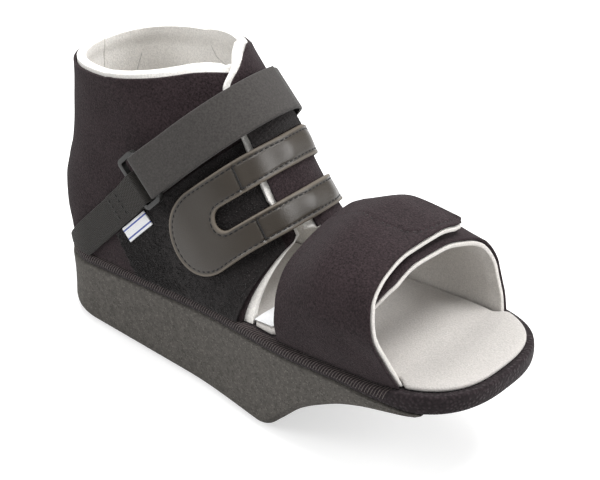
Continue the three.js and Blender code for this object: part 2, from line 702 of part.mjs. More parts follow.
// The webbing's centre line at a place across it: up the near side, round the ring's lower bar and back.
function webbingLine(across) {
  const barUp = RING_UP - (RING_WIDTH - RING_BAR) / 2;
  const radius = foldRadius(WEBBING_THICKNESS);
  const fold = foldLine(barUp, radius, 1);
  const stationAt = (up) => up * Math.cos(STRAP_SLOPE) + across * Math.sin(STRAP_SLOPE);
  const heightAt = (up) => up * Math.sin(STRAP_SLOPE) - across * Math.cos(STRAP_SLOPE);
  const seatUp = solve((up) => heightAt(up) - platformTop(stationAt(up)) - 2 * GAP, 0, WEBBING_LEAVES);
  const line = [];
  for (let i = 0; i <= WEBBING_STEPS; i += 1) {
    const up = lerp(seatUp, WEBBING_LEAVES, i / WEBBING_STEPS);
    const turn = turnAtStation(stationAt(up), heightAt(up), -1);
    const slant = normalAt(booteePoint, turn, heightAt(up)).y;
    const stand = (2 * GAP + WEBBING_THICKNESS / 2) / slant;
    line.push(new THREE.Vector2(booteePoint(turn, heightAt(up)).y + stand, up));
  }
  const back = new THREE.Vector2(line[WEBBING_STEPS].x - WEBBING_THICKNESS - GAP, WEBBING_LEAVES);
  const end = new THREE.Vector2(back.x, WEBBING_RETURN_END);
  return [...line, ...fold, back, end];
}

function roundedRectangle(path, width, height, corner) {
  const right = width / 2 - corner;
  const top = height / 2 - corner;
  path.absarc(right, top, corner, 0, Math.PI / 2);
  path.absarc(-right, top, corner, Math.PI / 2, Math.PI);
  path.absarc(-right, -top, corner, Math.PI, 1.5 * Math.PI);
  path.absarc(right, -top, corner, 1.5 * Math.PI, 2 * Math.PI);
  path.closePath();
  return path;
}

function ringGeometry() {
  const shape = roundedRectangle(new THREE.Shape(), RING_LENGTH, RING_WIDTH, RING_CORNER);
  const holeLength = RING_LENGTH - 2 * RING_SIDE_BAR;
  const holeWidth = RING_WIDTH - 2 * RING_BAR;
  shape.holes.push(roundedRectangle(new THREE.Path(), holeLength, holeWidth, RING_HOLE_CORNER));
  return new THREE.ExtrudeGeometry(shape, { depth: RING_DEPTH, bevelEnabled: false, curveSegments: 4 });
}

// The line round the girth at a place across the straps, as points and outward normals on the face that
// the forked strap lies on, with the length along it from the front ridge.
function girthLine(across) {
  const samples = [];
  for (let i = 0; i <= GIRTH_SAMPLES; i += 1) {
    const turn = lerp(-GIRTH_REACH, GIRTH_REACH, i / GIRTH_SAMPLES);
    const height = solve((z) => strapAcross(booteePoint(turn, z)) - across, HEEL_HEIGHT, RIM_HEIGHT + 30);
    const climb = smooth((turn - FORK_CLIMB_START) / (FORK_CLIMB_END - FORK_CLIMB_START));
    const near = lerp(PANEL_STAND + PANEL_THICKNESS, FLAP_LIFT, climb);
    const lift = (turn < 0 ? near : flapLift(turn)) + FORK_STAND;
    const face = booteeOffset(turn, height, lift);
    const top = booteeOffset(turn, height, lift + FORK_THICKNESS);
    samples.push({ face, top });
  }
  let length = 0;
  samples.forEach((sample, i) => {
    length += i > 0 ? sample.face.distanceTo(samples[i - 1].face) : 0;
    sample.length = length;
  });
  const ridge = samples[GIRTH_SAMPLES / 2].length;
  samples.forEach((sample) => {
    sample.length -= ridge;
  });
  return samples;
}

const girthLines = new Map();

// A point of the forked strap's underside or top at a length round the girth.
function girthPoint(length, across, level) {
  const key = across.toFixed(2);
  if (!girthLines.has(key)) {
    girthLines.set(key, girthLine(across));
  }
  const line = girthLines.get(key);
  const next = Math.max(line.findIndex((sample) => sample.length >= length), 1);
  const from = line[next - 1];
  const share = (length - from.length) / (line[next].length - from.length);
  return from[level].clone().lerp(line[next][level], share);
}

// The forked strap runs from the far end of one arm round the bowl to the far end of the other. Each of
// its crossways lines goes from the slot's edge to the outer edge.
function forkGeometry() {
  const edgePoint = (round, centre, reach, top, bottom) => {
    const middle = (top + bottom) / 2;
    if (round < FORK_ARM_SHARE) {
      return new THREE.Vector2(lerp(FORK_FAR_END, centre, round / FORK_ARM_SHARE), top);
    }
    if (round > 1 - FORK_ARM_SHARE) {
      return new THREE.Vector2(lerp(FORK_FAR_END, centre, (1 - round) / FORK_ARM_SHARE), bottom);
    }
    const angle = ((round - FORK_ARM_SHARE) / (1 - 2 * FORK_ARM_SHARE)) * Math.PI;
    const half = (bottom - top) / 2;
    return new THREE.Vector2(centre - reach * Math.sin(angle), middle - half * Math.cos(angle));
  };
  const slotReach = (FORK_SLOT_BOTTOM - FORK_SLOT_TOP) / 2;
  const faceAt = (level) => (round, outwards) => {
    const slot = edgePoint(round, FORK_SLOT_CENTRE, slotReach, FORK_SLOT_TOP, FORK_SLOT_BOTTOM);
    const outer = edgePoint(round, FORK_BOWL_CENTRE, FORK_BOWL_REACH, FORK_TOP, FORK_BOTTOM);
    const flat = slot.lerp(outer, outwards);
    return girthPoint(flat.x, flat.y, level);
  };
  return wallGeometry(faceAt("top"), faceAt("face"), FORK_GRID);
}

const shoe = new THREE.Group();

function addPart(parent, name, geometry, finish) {
  const mesh = new THREE.Mesh(geometry, new THREE.MeshStandardMaterial(finish));
  mesh.name = name;
  parent.add(mesh);
  return mesh;
}

function addFootbed() {
  addPart(shoe, "sole", soleGeometry(), SOLE_FOAM);
  addPart(shoe, "platform", platformGeometry(), RIM_CLOTH);
  addPart(shoe, "insole", insoleGeometry(), LINING_CLOTH);
  const plate = new THREE.BoxGeometry(LABEL.length, LABEL.width, LABEL.thickness);
  const label = addPart(shoe, "insole_label", plate, TAG_CLOTH);
  const rise = 2 * GAP + INSOLE_THICKNESS + LABEL.thickness / 2;
  label.position.set(LABEL.station, LABEL.across, platformTop(LABEL.station) + rise);
  label.rotation.y = -Math.atan(RISE_PER_MM);
}

function addBootee() {
  const cover = (quarter) => quarterGeometry(quarter, 0, COVER, 0);
  const lining = (quarter) => quarterGeometry(quarter, COVER + LAYER_GAP, WALL, LINING_RISE);
  addPart(shoe, "near_quarter", cover(NEAR_QUARTER), COVER_CLOTH);
  addPart(shoe, "near_lining", lining(NEAR_QUARTER), LINING_CLOTH);
  addPart(shoe, "far_quarter", cover(FAR_QUARTER), COVER_CLOTH);
  addPart(shoe, "far_lining", lining(FAR_QUARTER), LINING_CLOTH);
  addPart(shoe, "loop_panel", panelGeometry(), LOOP_PILE);
}

function addToeBand() {
  addPart(shoe, "near_toe_flap", flapGeometry(NEAR_FLAP, 0, COVER), COVER_CLOTH);
  addPart(shoe, "near_toe_lining", flapGeometry(NEAR_FLAP, COVER + LAYER_GAP, WALL), LINING_CLOTH);
  addPart(shoe, "far_toe_flap", flapGeometry(FAR_FLAP, 0, COVER), COVER_CLOTH);
  addPart(shoe, "far_toe_lining", flapGeometry(FAR_FLAP, COVER + LAYER_GAP, WALL), LINING_CLOTH);
}

// The strap frame has its first axis sideways, its second up the straps and its third across them.
function addStraps() {
  const frame = new THREE.Group();
  const up = new THREE.Vector3(Math.cos(STRAP_SLOPE), 0, Math.sin(STRAP_SLOPE));
  const across = new THREE.Vector3(Math.sin(STRAP_SLOPE), 0, -Math.cos(STRAP_SLOPE));
  const axes = new THREE.Matrix4().makeBasis(new THREE.Vector3(0, 1, 0), up, across);
  frame.quaternion.setFromRotationMatrix(axes);
  shoe.add(frame);
  const strap = strapGeometry(ankleStrapLine, STRAP_THICKNESS, STRAP_ACROSS, STRAP_WIDTH, 1);
  addPart(frame, "ankle_strap", strap, WOVEN_STRAP);
  const webbing = strapGeometry(
    webbingLine, WEBBING_THICKNESS, WEBBING_ACROSS, WEBBING_WIDTH, WEBBING_COLUMNS,
  );
  addPart(frame, "anchor_webbing", webbing, WEBBING_WEAVE);
  const ring = addPart(frame, "strap_ring", ringGeometry(), RING_PLASTIC);
  ring.position.set(RING_SIDEWAYS + RING_DEPTH / 2, RING_UP, STRAP_ACROSS);
  ring.rotation.y = -Math.PI / 2;
  const plate = new THREE.BoxGeometry(TAG.thickness, TAG.length, TAG.width);
  const tag = addPart(frame, "side_tag", plate, TAG_CLOTH);
  tag.position.set(TAG.side, TAG.up, TAG.across);
  addPart(shoe, "fork_strap", forkGeometry(), FORK_LEATHER);
}

addFootbed();
addBootee();
addToeBand();
addStraps();

shoe.updateMatrixWorld(true);
const box = new THREE.Box3().setFromObject(shoe);
const middle = box.getCenter(new THREE.Vector3());
shoe.position.set(-middle.x, -middle.y, -box.min.z);

export default shoe;
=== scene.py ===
"""Dresses the solids of a forefoot offloading shoe: foam, velour, fleece, loop pile, straps and stitching.

Shoe points are in millimetres: the station from the back of the platform towards the toe, sideways (the
side with the ring is negative) and the height above the ground. They become metres of the solids' frame
when a mesh is made.
"""

import math
from functools import lru_cache

import bmesh
import bpy
import numpy as np
from bpy.props import FloatProperty, FloatVectorProperty, PointerProperty
from mathutils import Matrix, Vector


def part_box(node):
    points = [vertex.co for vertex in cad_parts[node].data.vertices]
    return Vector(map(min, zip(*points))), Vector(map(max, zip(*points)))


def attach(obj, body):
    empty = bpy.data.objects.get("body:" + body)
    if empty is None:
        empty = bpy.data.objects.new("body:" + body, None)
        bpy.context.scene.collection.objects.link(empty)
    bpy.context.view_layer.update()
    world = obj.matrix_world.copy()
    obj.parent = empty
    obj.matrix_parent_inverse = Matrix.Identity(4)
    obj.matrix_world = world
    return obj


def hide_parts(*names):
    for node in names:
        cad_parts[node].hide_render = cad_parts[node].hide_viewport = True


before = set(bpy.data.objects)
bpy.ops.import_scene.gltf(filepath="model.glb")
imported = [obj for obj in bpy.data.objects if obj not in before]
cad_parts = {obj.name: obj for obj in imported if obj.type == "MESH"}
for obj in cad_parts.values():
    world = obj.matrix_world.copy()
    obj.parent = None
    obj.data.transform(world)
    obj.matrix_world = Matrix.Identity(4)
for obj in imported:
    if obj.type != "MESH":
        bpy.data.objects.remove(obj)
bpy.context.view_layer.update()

bl_info = {
    "name": "Forefoot Offloading Shoe",
    "version": (1, 0, 0),
    "blender": (4, 5, 0),
    "location": "3D View > Sidebar > Shoe",
    "description": "Builds the cloth, foam, straps and stitching of a forefoot offloading shoe on its solids",
    "category": "Object",
}

MM = 0.001
BODY = "root"
PLATFORM_LOW, PLATFORM_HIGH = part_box("platform")
SHOE_ORIGIN = np.array([PLATFORM_LOW.x / MM, (PLATFORM_LOW.y + PLATFORM_HIGH.y) / 2 / MM, 0.0])


class Rows:
    """A short table, read at values of its first column along smooth curves that never overshoot."""

    def __init__(self, *rows):
        self.key = np.array([row[0] for row in rows], float)
        self.columns = np.array([row[1:] for row in rows], float)
        span = np.diff(self.key)[:, None]
        secant = np.diff(self.columns, axis=0) / span
        self.slope = np.vstack([secant[:1], np.zeros_like(self.columns[1:-1]), secant[-1:]])
        before, after = secant[:-1], secant[1:]
        same_way = before * after > 0
        total = np.where(same_way, before + after, 1.0)
        self.slope[1:-1] = np.where(same_way, 2 * before * after / total, 0.0)

    def __call__(self, value):
        inside = np.clip(np.asarray(value, float), self.key[0], self.key[-1])
        after = np.clip(np.searchsorted(self.key, inside), 1, len(self.key) - 1)
        span = (self.key[after] - self.key[after - 1])[..., None]
        t = (inside - self.key[after - 1])[..., None] / span
        low, high = self.columns[after - 1], self.columns[after]
        bend_low = self.slope[after - 1] * span - (high - low)
        bend_high = high - low - self.slope[after] * span
        read = low + (high - low) * t + t * (1 - t) * (bend_low + (bend_high - bend_low) * t)
        return np.moveaxis(read, -1, 0)


# Sole and platform: outline seen from above, and heights
SHOE_LENGTH = 270.0
HEEL_HALF = 38.2
HEEL_ROUND = 35.0
HEEL_POWER = 2.2
BALL_HALF = 44.4
WAIST_STATION = 103.0
BALL_STATION = 184.0
TOE_ROUND = 57.0
TOE_POWER = 2.7
HEEL_HEIGHT = 38.3
RISE = 0.096
TOE_SPRING = 1.5
TOE_SPRING_START = 150.0
SOLE_FRONT = 250.0
SOLE_EDGE = 5.0
SOLE_PROUD = 1.2
SOLE_SPINE = (HEEL_ROUND, 205.0)
PLATFORM_SPINE = (HEEL_ROUND, 213.0)
GAP = 0.3
# station, height of the sole's underside
SOLE_BOTTOM = Rows((0, 9.5), (5, 4.4), (12, 1.2), (22, 0), (156, 0), (162, 1.8), (170, 9.3), (183, 22.6),
                   (196, 31.8), (212, 40.6), (230, 47.2), (252, 52.8))
# station, thickness of the wrapped board
PLATFORM_DEPTH = Rows((0, 6), (205, 6), (232, 7.8), (250, 10.2), (270, 9.6))
# station, distance of the footbed's edge from the outline
INSOLE_INSET = Rows((0, 7), (147, 8), (152, 3.8), (162.5, 3.8), (167.5, 8), (236.8, 8.6), (243.6, 3.4),
                    (270, 3.4))
INSOLE_THICKNESS = 2.4
INSOLE_CROWN = 0.5
INSOLE_DENT = 0.6
INSOLE_ROUND = 1.0
LABEL_STATION = 150.3
LABEL_LENGTH = 11.4
LABEL_SIDE = -37.6
LABEL_WIDTH = 26.0
LABEL_STAND = 0.75
LABEL_THICKNESS = 0.5
LABEL_WAVE = 0.25
# Knit rim of the platform, by shares from its foot to its top inside, and the overlock on it
RIM_TOP_SHARE = 0.75
RIM_TURN_SHARE = 0.68
RIM_TURN_REACH = 5.0
RIM_TURN_EASE = 1.6
RIM_BULGE = 0.9
RIM_FOOT = 0.5
OVERLOCK_SHARES = (0.3, 0.9)
OVERLOCK_SLANT = 2.6
OVERLOCK_END = 236.0
OVERLOCK_LIFT = 0.02

# Walls of the upper
COVER = 1.4
LAYER_GAP = 0.5
LINING = 3.0
WALL = COVER + LAYER_GAP + LINING
SEAT_BLEND = 20.0
# height, back of the heel, length of the heel's round, half width, share of the platform's flare,
# station where the front starts to close, station of the front ridge, roundness
BOOTEE = Rows((38, 0.8, 34.5, 37.3, 1, 110, 225, 3), (50, -1.2, 36, 37.8, 1, 105, 203, 2.8),
              (62, -2.8, 37, 38.3, 0.9, 98, 178, 2.6), (77, -2.6, 38.5, 38.6, 0.7, 92, 161.5, 2.5),
              (89, 0.4, 40, 38.6, 0.45, 86, 150.2, 2.4), (100, 3.6, 42, 38.3, 0.2, 80, 142.4, 2.35),
              (118, 5, 46, 37.6, 0, 70, 130.6, 2.3), (131, 5.4, 47, 37.2, 0, 63, 121.6, 2.1),
              (145, 5.6, 47.5, 36.6, 0, 58, 111.5, 1.8), (163, 5.6, 47.5, 36.2, 0, 54, 99, 1.6))
HEEL_SHARE = 0.3
SIDE_SHARE = 0.6
HEEL_SEAM_TURN = 0.0006
RIM_HEIGHT = 141.5
RIM_SLOPE = 0.165
RIM_BLEND = 14.0
LINING_RISE = 1.7
LINING_OVERHANG = 0.011
COVER_SETBACK = 0.005
RIM_ROLL = 1.4
RIM_ROLL_START = 0.92
# height, turn of the two seams inside the lining
LINING_SEAM_HEEL = Rows((108, 0.93), (120, 0.9), (131, 0.88))
LINING_SEAM_FRONT = Rows((120, 0.29), (133, 0.35), (139, 0.41), (144, 0.5))
THROAT_FOOT = 145.5
THROAT_CURVE = 0.009
THROAT_REACH = 5.6
NEAR_FRONT_TURN = -0.03
NEAR_TOP_TURN = 0.05
NEAR_TOP_START = 120.0
NEAR_TOP_END = 150.0
NEAR_RIM_DIP = 5.0
NEAR_DIP_START = 0.8
FLAP_EDGE_TURN = -0.07
FLAP_FOOT = 93.0
FLAP_CORNER = 105.0
FLAP_TOP_TURN = 0.085
FLAP_TOP_CORNER = 0.87
FLAP_TOP_EASE = 1.6
FLAP_PEAK = 5.0
FLAP_PEAK_START = 0.86
FLAP_LIFT = WALL + 1.0
FLAP_LIFT_START = 0.42
FLAP_LIFT_END = 0.06

# Loop-pile panel
PANEL_THICKNESS = 1.0
PANEL_STAND = 0.8
PANEL_HEEL_FOOT = 70.0
PANEL_HEEL_LEAN = 0.6
PANEL_HEEL_MIN = 56.0
PANEL_TOP = -3.8
PANEL_FRONT_MARGIN = 0.012
PILE_LOOPS = 4200
PILE_SEED = 11
PILE_THREAD = 0.11

# Straps, in the frame that climbs forward at this angle
STRAP_SLOPE = math.radians(46.2)
STRAP_WIDTH = 22.5
STRAP_THICKNESS = 1.8
STRAP_ACROSS = -15.5
STRAP_LAYER_PITCH = 2.3
STRAP_FREE_END = 14.0
# arch of the strap's under layer, from the far side over the ridge: sideways, up the strap
STRAP_ARCH = ((39.6, 57), (41, 90), (40.6, 125), (38.5, 150), (32, 172), (18, 188.4), (0, 193.3),
              (-16, 189.2), (-29, 177.4), (-37, 161))
FOLD_LEAD = 20.0
RING_BAR = 2.6
RING_DEPTH = 2.8
RING_WIDTH = 15.0
RING_UP = 136.0
RING_SIDEWAYS = -44.2
WEBBING_WIDTH = 16.6
WEBBING_THICKNESS = 1.5
WEBBING_ACROSS = -12.8
WEBBING_LEAVES = 112.0
WEBBING_RETURN_END = 99.0
WEBBING_SLACK = 3.0
TAG_ACROSS = 0.1
TAG_UP = 108.0
TAG_WIDTH = 8.0
TAG_LENGTH = 24.0
TAG_THICKNESS = 0.7
TAG_SIDE = -41.1

# Forked strap, along the girth from the front ridge and across it
FORK_THICKNESS = 1.6
FORK_STAND = 0.5
FORK_TOP = 1.5
FORK_BOTTOM = 42.4
FORK_SLOT_TOP = 16.3
FORK_SLOT_BOTTOM = 27.6
FORK_SLOT_CENTRE = -40.0
FORK_BOWL_CENTRE = -53.0
FORK_BOWL_REACH = 24.0
FORK_FAR_END = 70.0
FORK_ARM_SHARE = 0.4
FORK_CLIMB_START = -0.3
FORK_CLIMB_END = -0.12
FORK_SEAM = -27.0
FORK_CROWN = 1.8
FORK_SEAM_THREAD = 0.42
FORK_STITCH_INSET = 2.6
PILE_SWELL = 4.5

# Toe band flaps
BAND_REAR = 168.5
BAND_FRONT = 240.0
BAND_LEAN = 0.3
BAND_LEAN_BASE = 62.0
BAND_INSET = 2.2
FLAP_SEAT_BLEND = 0.1
FAR_END_RECEDE = 12.0
FAR_END_START = 0.78
# girth, then sideways and height at the rear, the middle and the front
NEAR_FLAP = ((0.14, -44.4, 68, -47.2, 75, -46, 75), (0.3, -43.4, 79.5, -49.4, 90, -50.4, 90),
             (0.46, -36.5, 93.5, -44, 106.5, -46.8, 104), (0.6, -23, 101.5, -29, 115.5, -34, 113.6),
             (0.75, -5, 106, -8, 119.6, -15, 117.6), (0.88, 8, 106.8, 9, 119, 6, 117.4),
             (1, 19, 104.6, 24, 115, 27, 112.2))
FAR_FLAP = ((0.11, 42.6, 67, 44.6, 74, 41.4, 74), (0.24, 41, 79, 43.6, 88, 41.4, 86),
            (0.36, 35, 90, 37, 101, 35.6, 99), (0.47, 22, 96.5, 23, 108, 23, 106),
            (0.59, 7, 99.4, 6, 112, 7, 110), (0.7, -8, 98.6, -10, 112.6, -12, 110.8),
            (0.81, -21, 95, -26.5, 108.4, -30, 106.8), (0.9, -32, 87.6, -38.6, 99.6, -41, 98),
            (1, -37.4, 78, -43, 88.6, -44.4, 88))

BOUND_THINNER = 0.9
BOUND_REACH = 1.006
# sewn line of the hook patch on the near flap: share along, girth
PATCH_LINE = ((0.04, 0.755), (0.333, 0.748), (0.533, 0.738), (0.683, 0.76), (0.842, 0.79), (0.915, 0.825),
              (0.945, 0.88), (0.945, 0.955), (0.9, 0.985))
PATCH_SCALE = (72.0, 120.0)

# Camera of the view from the front, in shoe millimetres and degrees
CAMERA_PLACE = (586.63, -486.27, 502.45)
CAMERA_YAW = 42.15
CAMERA_PITCH = 32.58
CAMERA_LENS = 97.604
CAMERA_SHIFT = (-0.0036, -0.0058)


def paint(code):
    """Linear red, green and blue of a display colour written in hexadecimal."""
    parts = [int(code[i:i + 2], 16) / 255 for i in (0, 2, 4)]
    return tuple(p / 12.92 if p <= 0.04045 else ((p + 0.055) / 1.055) ** 2.4 for p in parts)


def colour(name, description, code):
    return FloatVectorProperty(name=name, description=description, subtype="COLOR", size=3, min=0, max=1,
                               default=paint(code))


def length(name, description, default):
    return FloatProperty(name=name, description=description, subtype="DISTANCE", unit="LENGTH", min=0,
                         default=default * MM)


class ShoeColours(bpy.types.PropertyGroup):
    """Colours of the shoe's finishes"""
    foam: colour("Foam", "Sole foam", "504d49")
    rim: colour("Rim", "Knit round the platform's edge", "201a1c")
    rim_thread: colour("Rim Thread", "Overlock thread round the platform", "4c4441")
    velour: colour("Velour", "Dark cover cloth", "2b2325")
    fleece: colour("Fleece", "Light lining", "f4f1ec")
    # painted shade: the lining's fleece made darker on the footbed, which faces the key light
    footbed: colour("Footbed", "Fleece of the footbed", "b9b5b1")
    # painted shade: the lining's fleece made darker inside the toe band, where the flaps shade it
    toe_lining: colour("Toe Lining", "Fleece of the toe band", "cfcbc6")
    pile: colour("Pile", "Loop panel", "221f1f")
    strap: colour("Strap", "Woven ankle strap", "383533")
    webbing: colour("Webbing", "Anchor webbing", "1a1611")
    leather: colour("Leather", "Forked strap", "302a23")
    leather_edge: colour("Leather Edge", "Rolled edge of the forked strap", "5f574d")
    plastic: colour("Plastic", "Strap ring", "242423")
    label: colour("Label", "Woven labels", "e9eaec")
    stripe: colour("Stripe", "Edge stripes of the woven tag", "4a5aa0")
    dark_thread: colour("Dark Thread", "Stitching on strap and cover", "141212")
    floor: colour("Floor", "Studio floor", "cfcfcf")


class ShoeSizes(bpy.types.PropertyGroup):
    """Sizes of the shoe's soft detail"""
    puff: length("Puff", "Depth of the soft hollows of the padded walls", 0.35)
    thread: length("Thread", "Radius of the sewing thread", 0.22)
    rim_thread: length("Rim Thread", "Radius of the overlock yarn", 0.22)
    rim_pitch: length("Rim Pitch", "Distance between overlock stitches", 1.6)
    stitch: length("Stitch", "Length of one stitch", 2.0)
    stitch_pitch: length("Stitch Pitch", "Distance between stitches", 3.1)
    pile: length("Pile", "Height of the panel's loops", 0.8)


def smooth(value):
    t = np.clip(value, 0.0, 1.0)
    return t * t * (3 - 2 * t)


def lerp(low, high, share):
    return low + (high - low) * share


def bump(value, centre, width):
    return np.exp(-((value - centre) / width) ** 2)


def solve(fn, low, high):
    """Where a function passes zero between two arrays of values."""
    start = np.sign(fn(low))
    for _ in range(36):
        middle = (low + high) / 2
        before = np.sign(fn(middle)) == start
        low = np.where(before, middle, low)
        high = np.where(before, high, middle)
    return (low + high) / 2


def unit(vectors):
    return vectors / np.maximum(np.linalg.norm(vectors, axis=-1, keepdims=True), 1e-9)


def normal_at(surface, p, q):
    step = 1e-3
    along_p = surface(p + step, q) - surface(p - step, q)
    along_q = surface(p, q + step) - surface(p, q - step)
    return unit(np.cross(along_p, along_q))


def ripple(points):
    """Soft unevenness between -1 and 1 of padded cloth at shoe points."""
    x, y, z = points[..., 0], points[..., 1], points[..., 2]
    broad = np.sin(x * 0.093 + 1.3 * np.sin(z * 0.071)) * np.sin(z * 0.083 + y * 0.06 + 0.7)
    fine = np.sin(x * 0.21 + y * 0.17 + 2.1) * np.sin(z * 0.19 - y * 0.13 + 0.4)
    return 0.7 * broad + 0.3 * fine


def half_width(station):
    heel = np.clip((HEEL_ROUND - station) / HEEL_ROUND, 0, 1)
    toe = np.clip((station - SHOE_LENGTH + TOE_ROUND) / TOE_ROUND, 0, 1)
    flare = smooth((station - WAIST_STATION) / (BALL_STATION - WAIST_STATION))
    middle = lerp(HEEL_HALF, BALL_HALF, flare)
    return middle * (1 - heel ** HEEL_POWER) ** (1 / HEEL_POWER) * (1 - toe ** TOE_POWER) ** (1 / TOE_POWER)


def platform_top(station):
    spring = np.maximum(station - TOE_SPRING_START, 0) / (SHOE_LENGTH - TOE_SPRING_START)
    return HEEL_HEIGHT + RISE * station + TOE_SPRING * spring ** 2


def platform_bottom(station):
    return platform_top(station) - PLATFORM_DEPTH(station)[0]


def outline(around, end):
    """Outline seen from above at shares round it, from the heel along the near side; a sole ends early."""
    near = np.where(around < 0.5, around, 1 - around) * 2
    heel_share, toe_share = 0.2, 0.76
    toe_start = SHOE_LENGTH - TOE_ROUND
    heel = HEEL_ROUND * (1 - np.cos(np.clip(near / heel_share, 0, 1) * math.pi / 2))
    side = lerp(HEEL_ROUND, toe_start, np.clip((near - heel_share) / (toe_share - heel_share), 0, 1))
    toe_run = np.clip((near - toe_share) / (1 - toe_share), 0, 1)
    toe = toe_start + TOE_ROUND * np.sin(toe_run * math.pi / 2)
    station = np.where(near < heel_share, heel, np.where(near < toe_share, side, toe))
    half = half_width(station)
    if end < SHOE_LENGTH:
        cut = toe_start + (end - toe_start) * np.clip(toe_run / 0.6, 0, 1)
        station = np.where(near < toe_share, station, cut)
        half = half_width(station) * np.where(toe_run > 0.6, 1 - (toe_run - 0.6) / 0.4, 1.0)
    return np.stack([station, np.where(around < 0.5, -half, half)], -1)


def bootee_point(turn, height):
    """The bootee's face: turn 0 is the front ridge, -1 the heel by the near side, 1 by the far side."""
    turn, height = np.broadcast_arrays(np.asarray(turn, float), np.asarray(height, float))
    back, heel_round, half, flare, shoulder, front, power = BOOTEE(height)
    wrapped = turn - 2 * np.round(turn / 2)
    run = 1 - np.abs(wrapped)
    heel_end = back + heel_round
    heel_angle = np.clip(run / HEEL_SHARE, 0, 1) * math.pi / 2
    heel_x = heel_end - heel_round * np.maximum(np.cos(heel_angle), 0) ** (2 / HEEL_POWER)
    heel_y = half * np.sin(heel_angle) ** (2 / HEEL_POWER)
    side_x = lerp(heel_end, shoulder, (run - HEEL_SHARE) / (SIDE_SHARE - HEEL_SHARE))
    front_angle = np.clip((run - SIDE_SHARE) / (1 - SIDE_SHARE), 0, 1) * math.pi / 2
    front_x = lerp(shoulder, front, np.sin(front_angle) ** (2 / power))
    front_y = half * np.maximum(np.cos(front_angle), 0) ** (2 / power)
    x = np.where(run < HEEL_SHARE, heel_x, np.where(run < SIDE_SHARE, side_x, front_x))
    y = np.where(run < HEEL_SHARE, heel_y, np.where(run < SIDE_SHARE, half, front_y))
    widen = half_width(np.clip(x, HEEL_ROUND, BALL_STATION)) / HEEL_HALF
    y = np.where(run < HEEL_SHARE, y, y * lerp(1.0, widen, flare))
    return np.stack([x, np.where(wrapped < 0, -y, y), height], -1)


def above_seat(points):
    points[..., 2] = np.maximum(points[..., 2], platform_top(points[..., 0]) + GAP)
    return points


def bootee_offset(turn, height, offset, lean=1.0):
    """A point a distance outside the bootee's face, with the padding's unevenness."""
    point = bootee_point(turn, height)
    normal = normal_at(bootee_point, turn, height)
    normal[..., 2] *= lean * smooth((height - platform_top(point[..., 0])) / SEAT_BLEND)
    soft = sizes().puff / MM * ripple(point) * smooth((height - platform_top(point[..., 0])) / SEAT_BLEND)
    return above_seat(point + unit(normal) * np.asarray(offset + soft)[..., None])


def turn_at_station(station, height, side):
    reached = np.minimum(station, bootee_point(0.0, height)[..., 0])
    zero = np.zeros(np.shape(reached))
    return side * solve(lambda turn: bootee_point(turn, height)[..., 0] - reached, zero, zero + 1)


def throat_turn(height, side):
    rise = height - platform_top(THROAT_FOOT)
    station = THROAT_FOOT + THROAT_REACH * np.tanh(THROAT_CURVE * rise ** 2 / THROAT_REACH)
    return turn_at_station(station, height, side)


def near_front_turn(height, share):
    throat = np.minimum(throat_turn(height, -1), NEAR_FRONT_TURN)
    return lerp(throat, NEAR_TOP_TURN, smooth((height - NEAR_TOP_START) / (NEAR_TOP_END - NEAR_TOP_START)))


def far_front_turn(height, share):
    throat = throat_turn(np.minimum(height, FLAP_FOOT), 1)
    edge = lerp(throat, FLAP_EDGE_TURN, smooth((height - FLAP_FOOT) / (FLAP_CORNER - FLAP_FOOT)))
    slant = np.clip((share - FLAP_TOP_CORNER) / (1 - FLAP_TOP_CORNER), 0, 1)
    return lerp(edge, FLAP_TOP_TURN, slant ** FLAP_TOP_EASE)


def flap_lift(turn):
    return FLAP_LIFT * smooth((FLAP_LIFT_START - turn) / (FLAP_LIFT_START - FLAP_LIFT_END))


def quarter_place(side, around, up, overhang=0.0):
    """Turn, height and lean of a quarter's wall at shares from heel to front edge and from seat to rim."""
    heel_turn = side * (1 - HEEL_SEAM_TURN)
    front = near_front_turn if side < 0 else far_front_turn
    turn_at = lambda height, share: lerp(heel_turn, front(height, share) - side * overhang, around)
    seat_height = platform_top(THROAT_FOOT * around)
    seat = platform_top(bootee_point(turn_at(seat_height, 0.0), seat_height)[..., 0]) + GAP
    top = np.full(np.shape(around), RIM_HEIGHT)
    rim = RIM_HEIGHT + RIM_SLOPE * bootee_point(turn_at(top, 1.0), top)[..., 0]
    if side < 0:
        rim = rim - NEAR_RIM_DIP * smooth((around - NEAR_DIP_START) / (1 - NEAR_DIP_START))
    else:
        rim = rim + FLAP_PEAK * smooth((around - FLAP_PEAK_START) / (1 - FLAP_PEAK_START))
    height = lerp(seat, rim, up)
    return turn_at(height, up), height, smooth((rim - height) / RIM_BLEND)


def quarter_point(side, around, up, depth, rise=0.0, overhang=0.0):
    turn, height, lean = quarter_place(side, around, up, overhang)
    lift = flap_lift(turn) if side > 0 else 0.0
    return bootee_offset(turn, height + rise * smooth((up - 0.975) / 0.025), lift - depth, lean)


def strap_across(points):
    return points[..., 0] * math.sin(STRAP_SLOPE) - points[..., 2] * math.cos(STRAP_SLOPE)


def strap_to_shoe(sideways, up, across):
    """Shoe points from the straps' own frame."""
    station = up * math.cos(STRAP_SLOPE) + across * math.sin(STRAP_SLOPE)
    height = up * math.sin(STRAP_SLOPE) - across * math.cos(STRAP_SLOPE)
    return np.stack(np.broadcast_arrays(station, sideways, height), -1)


def panel_turn(around, height):
    heel_station = PANEL_HEEL_FOOT - PANEL_HEEL_LEAN * (height - platform_top(PANEL_HEEL_FOOT))
    heel_turn = turn_at_station(np.maximum(heel_station, PANEL_HEEL_MIN), height, -1)
    front_turn = np.minimum(near_front_turn(height, 0.0), FLAP_EDGE_TURN) - PANEL_FRONT_MARGIN
    return lerp(heel_turn, front_turn, around)


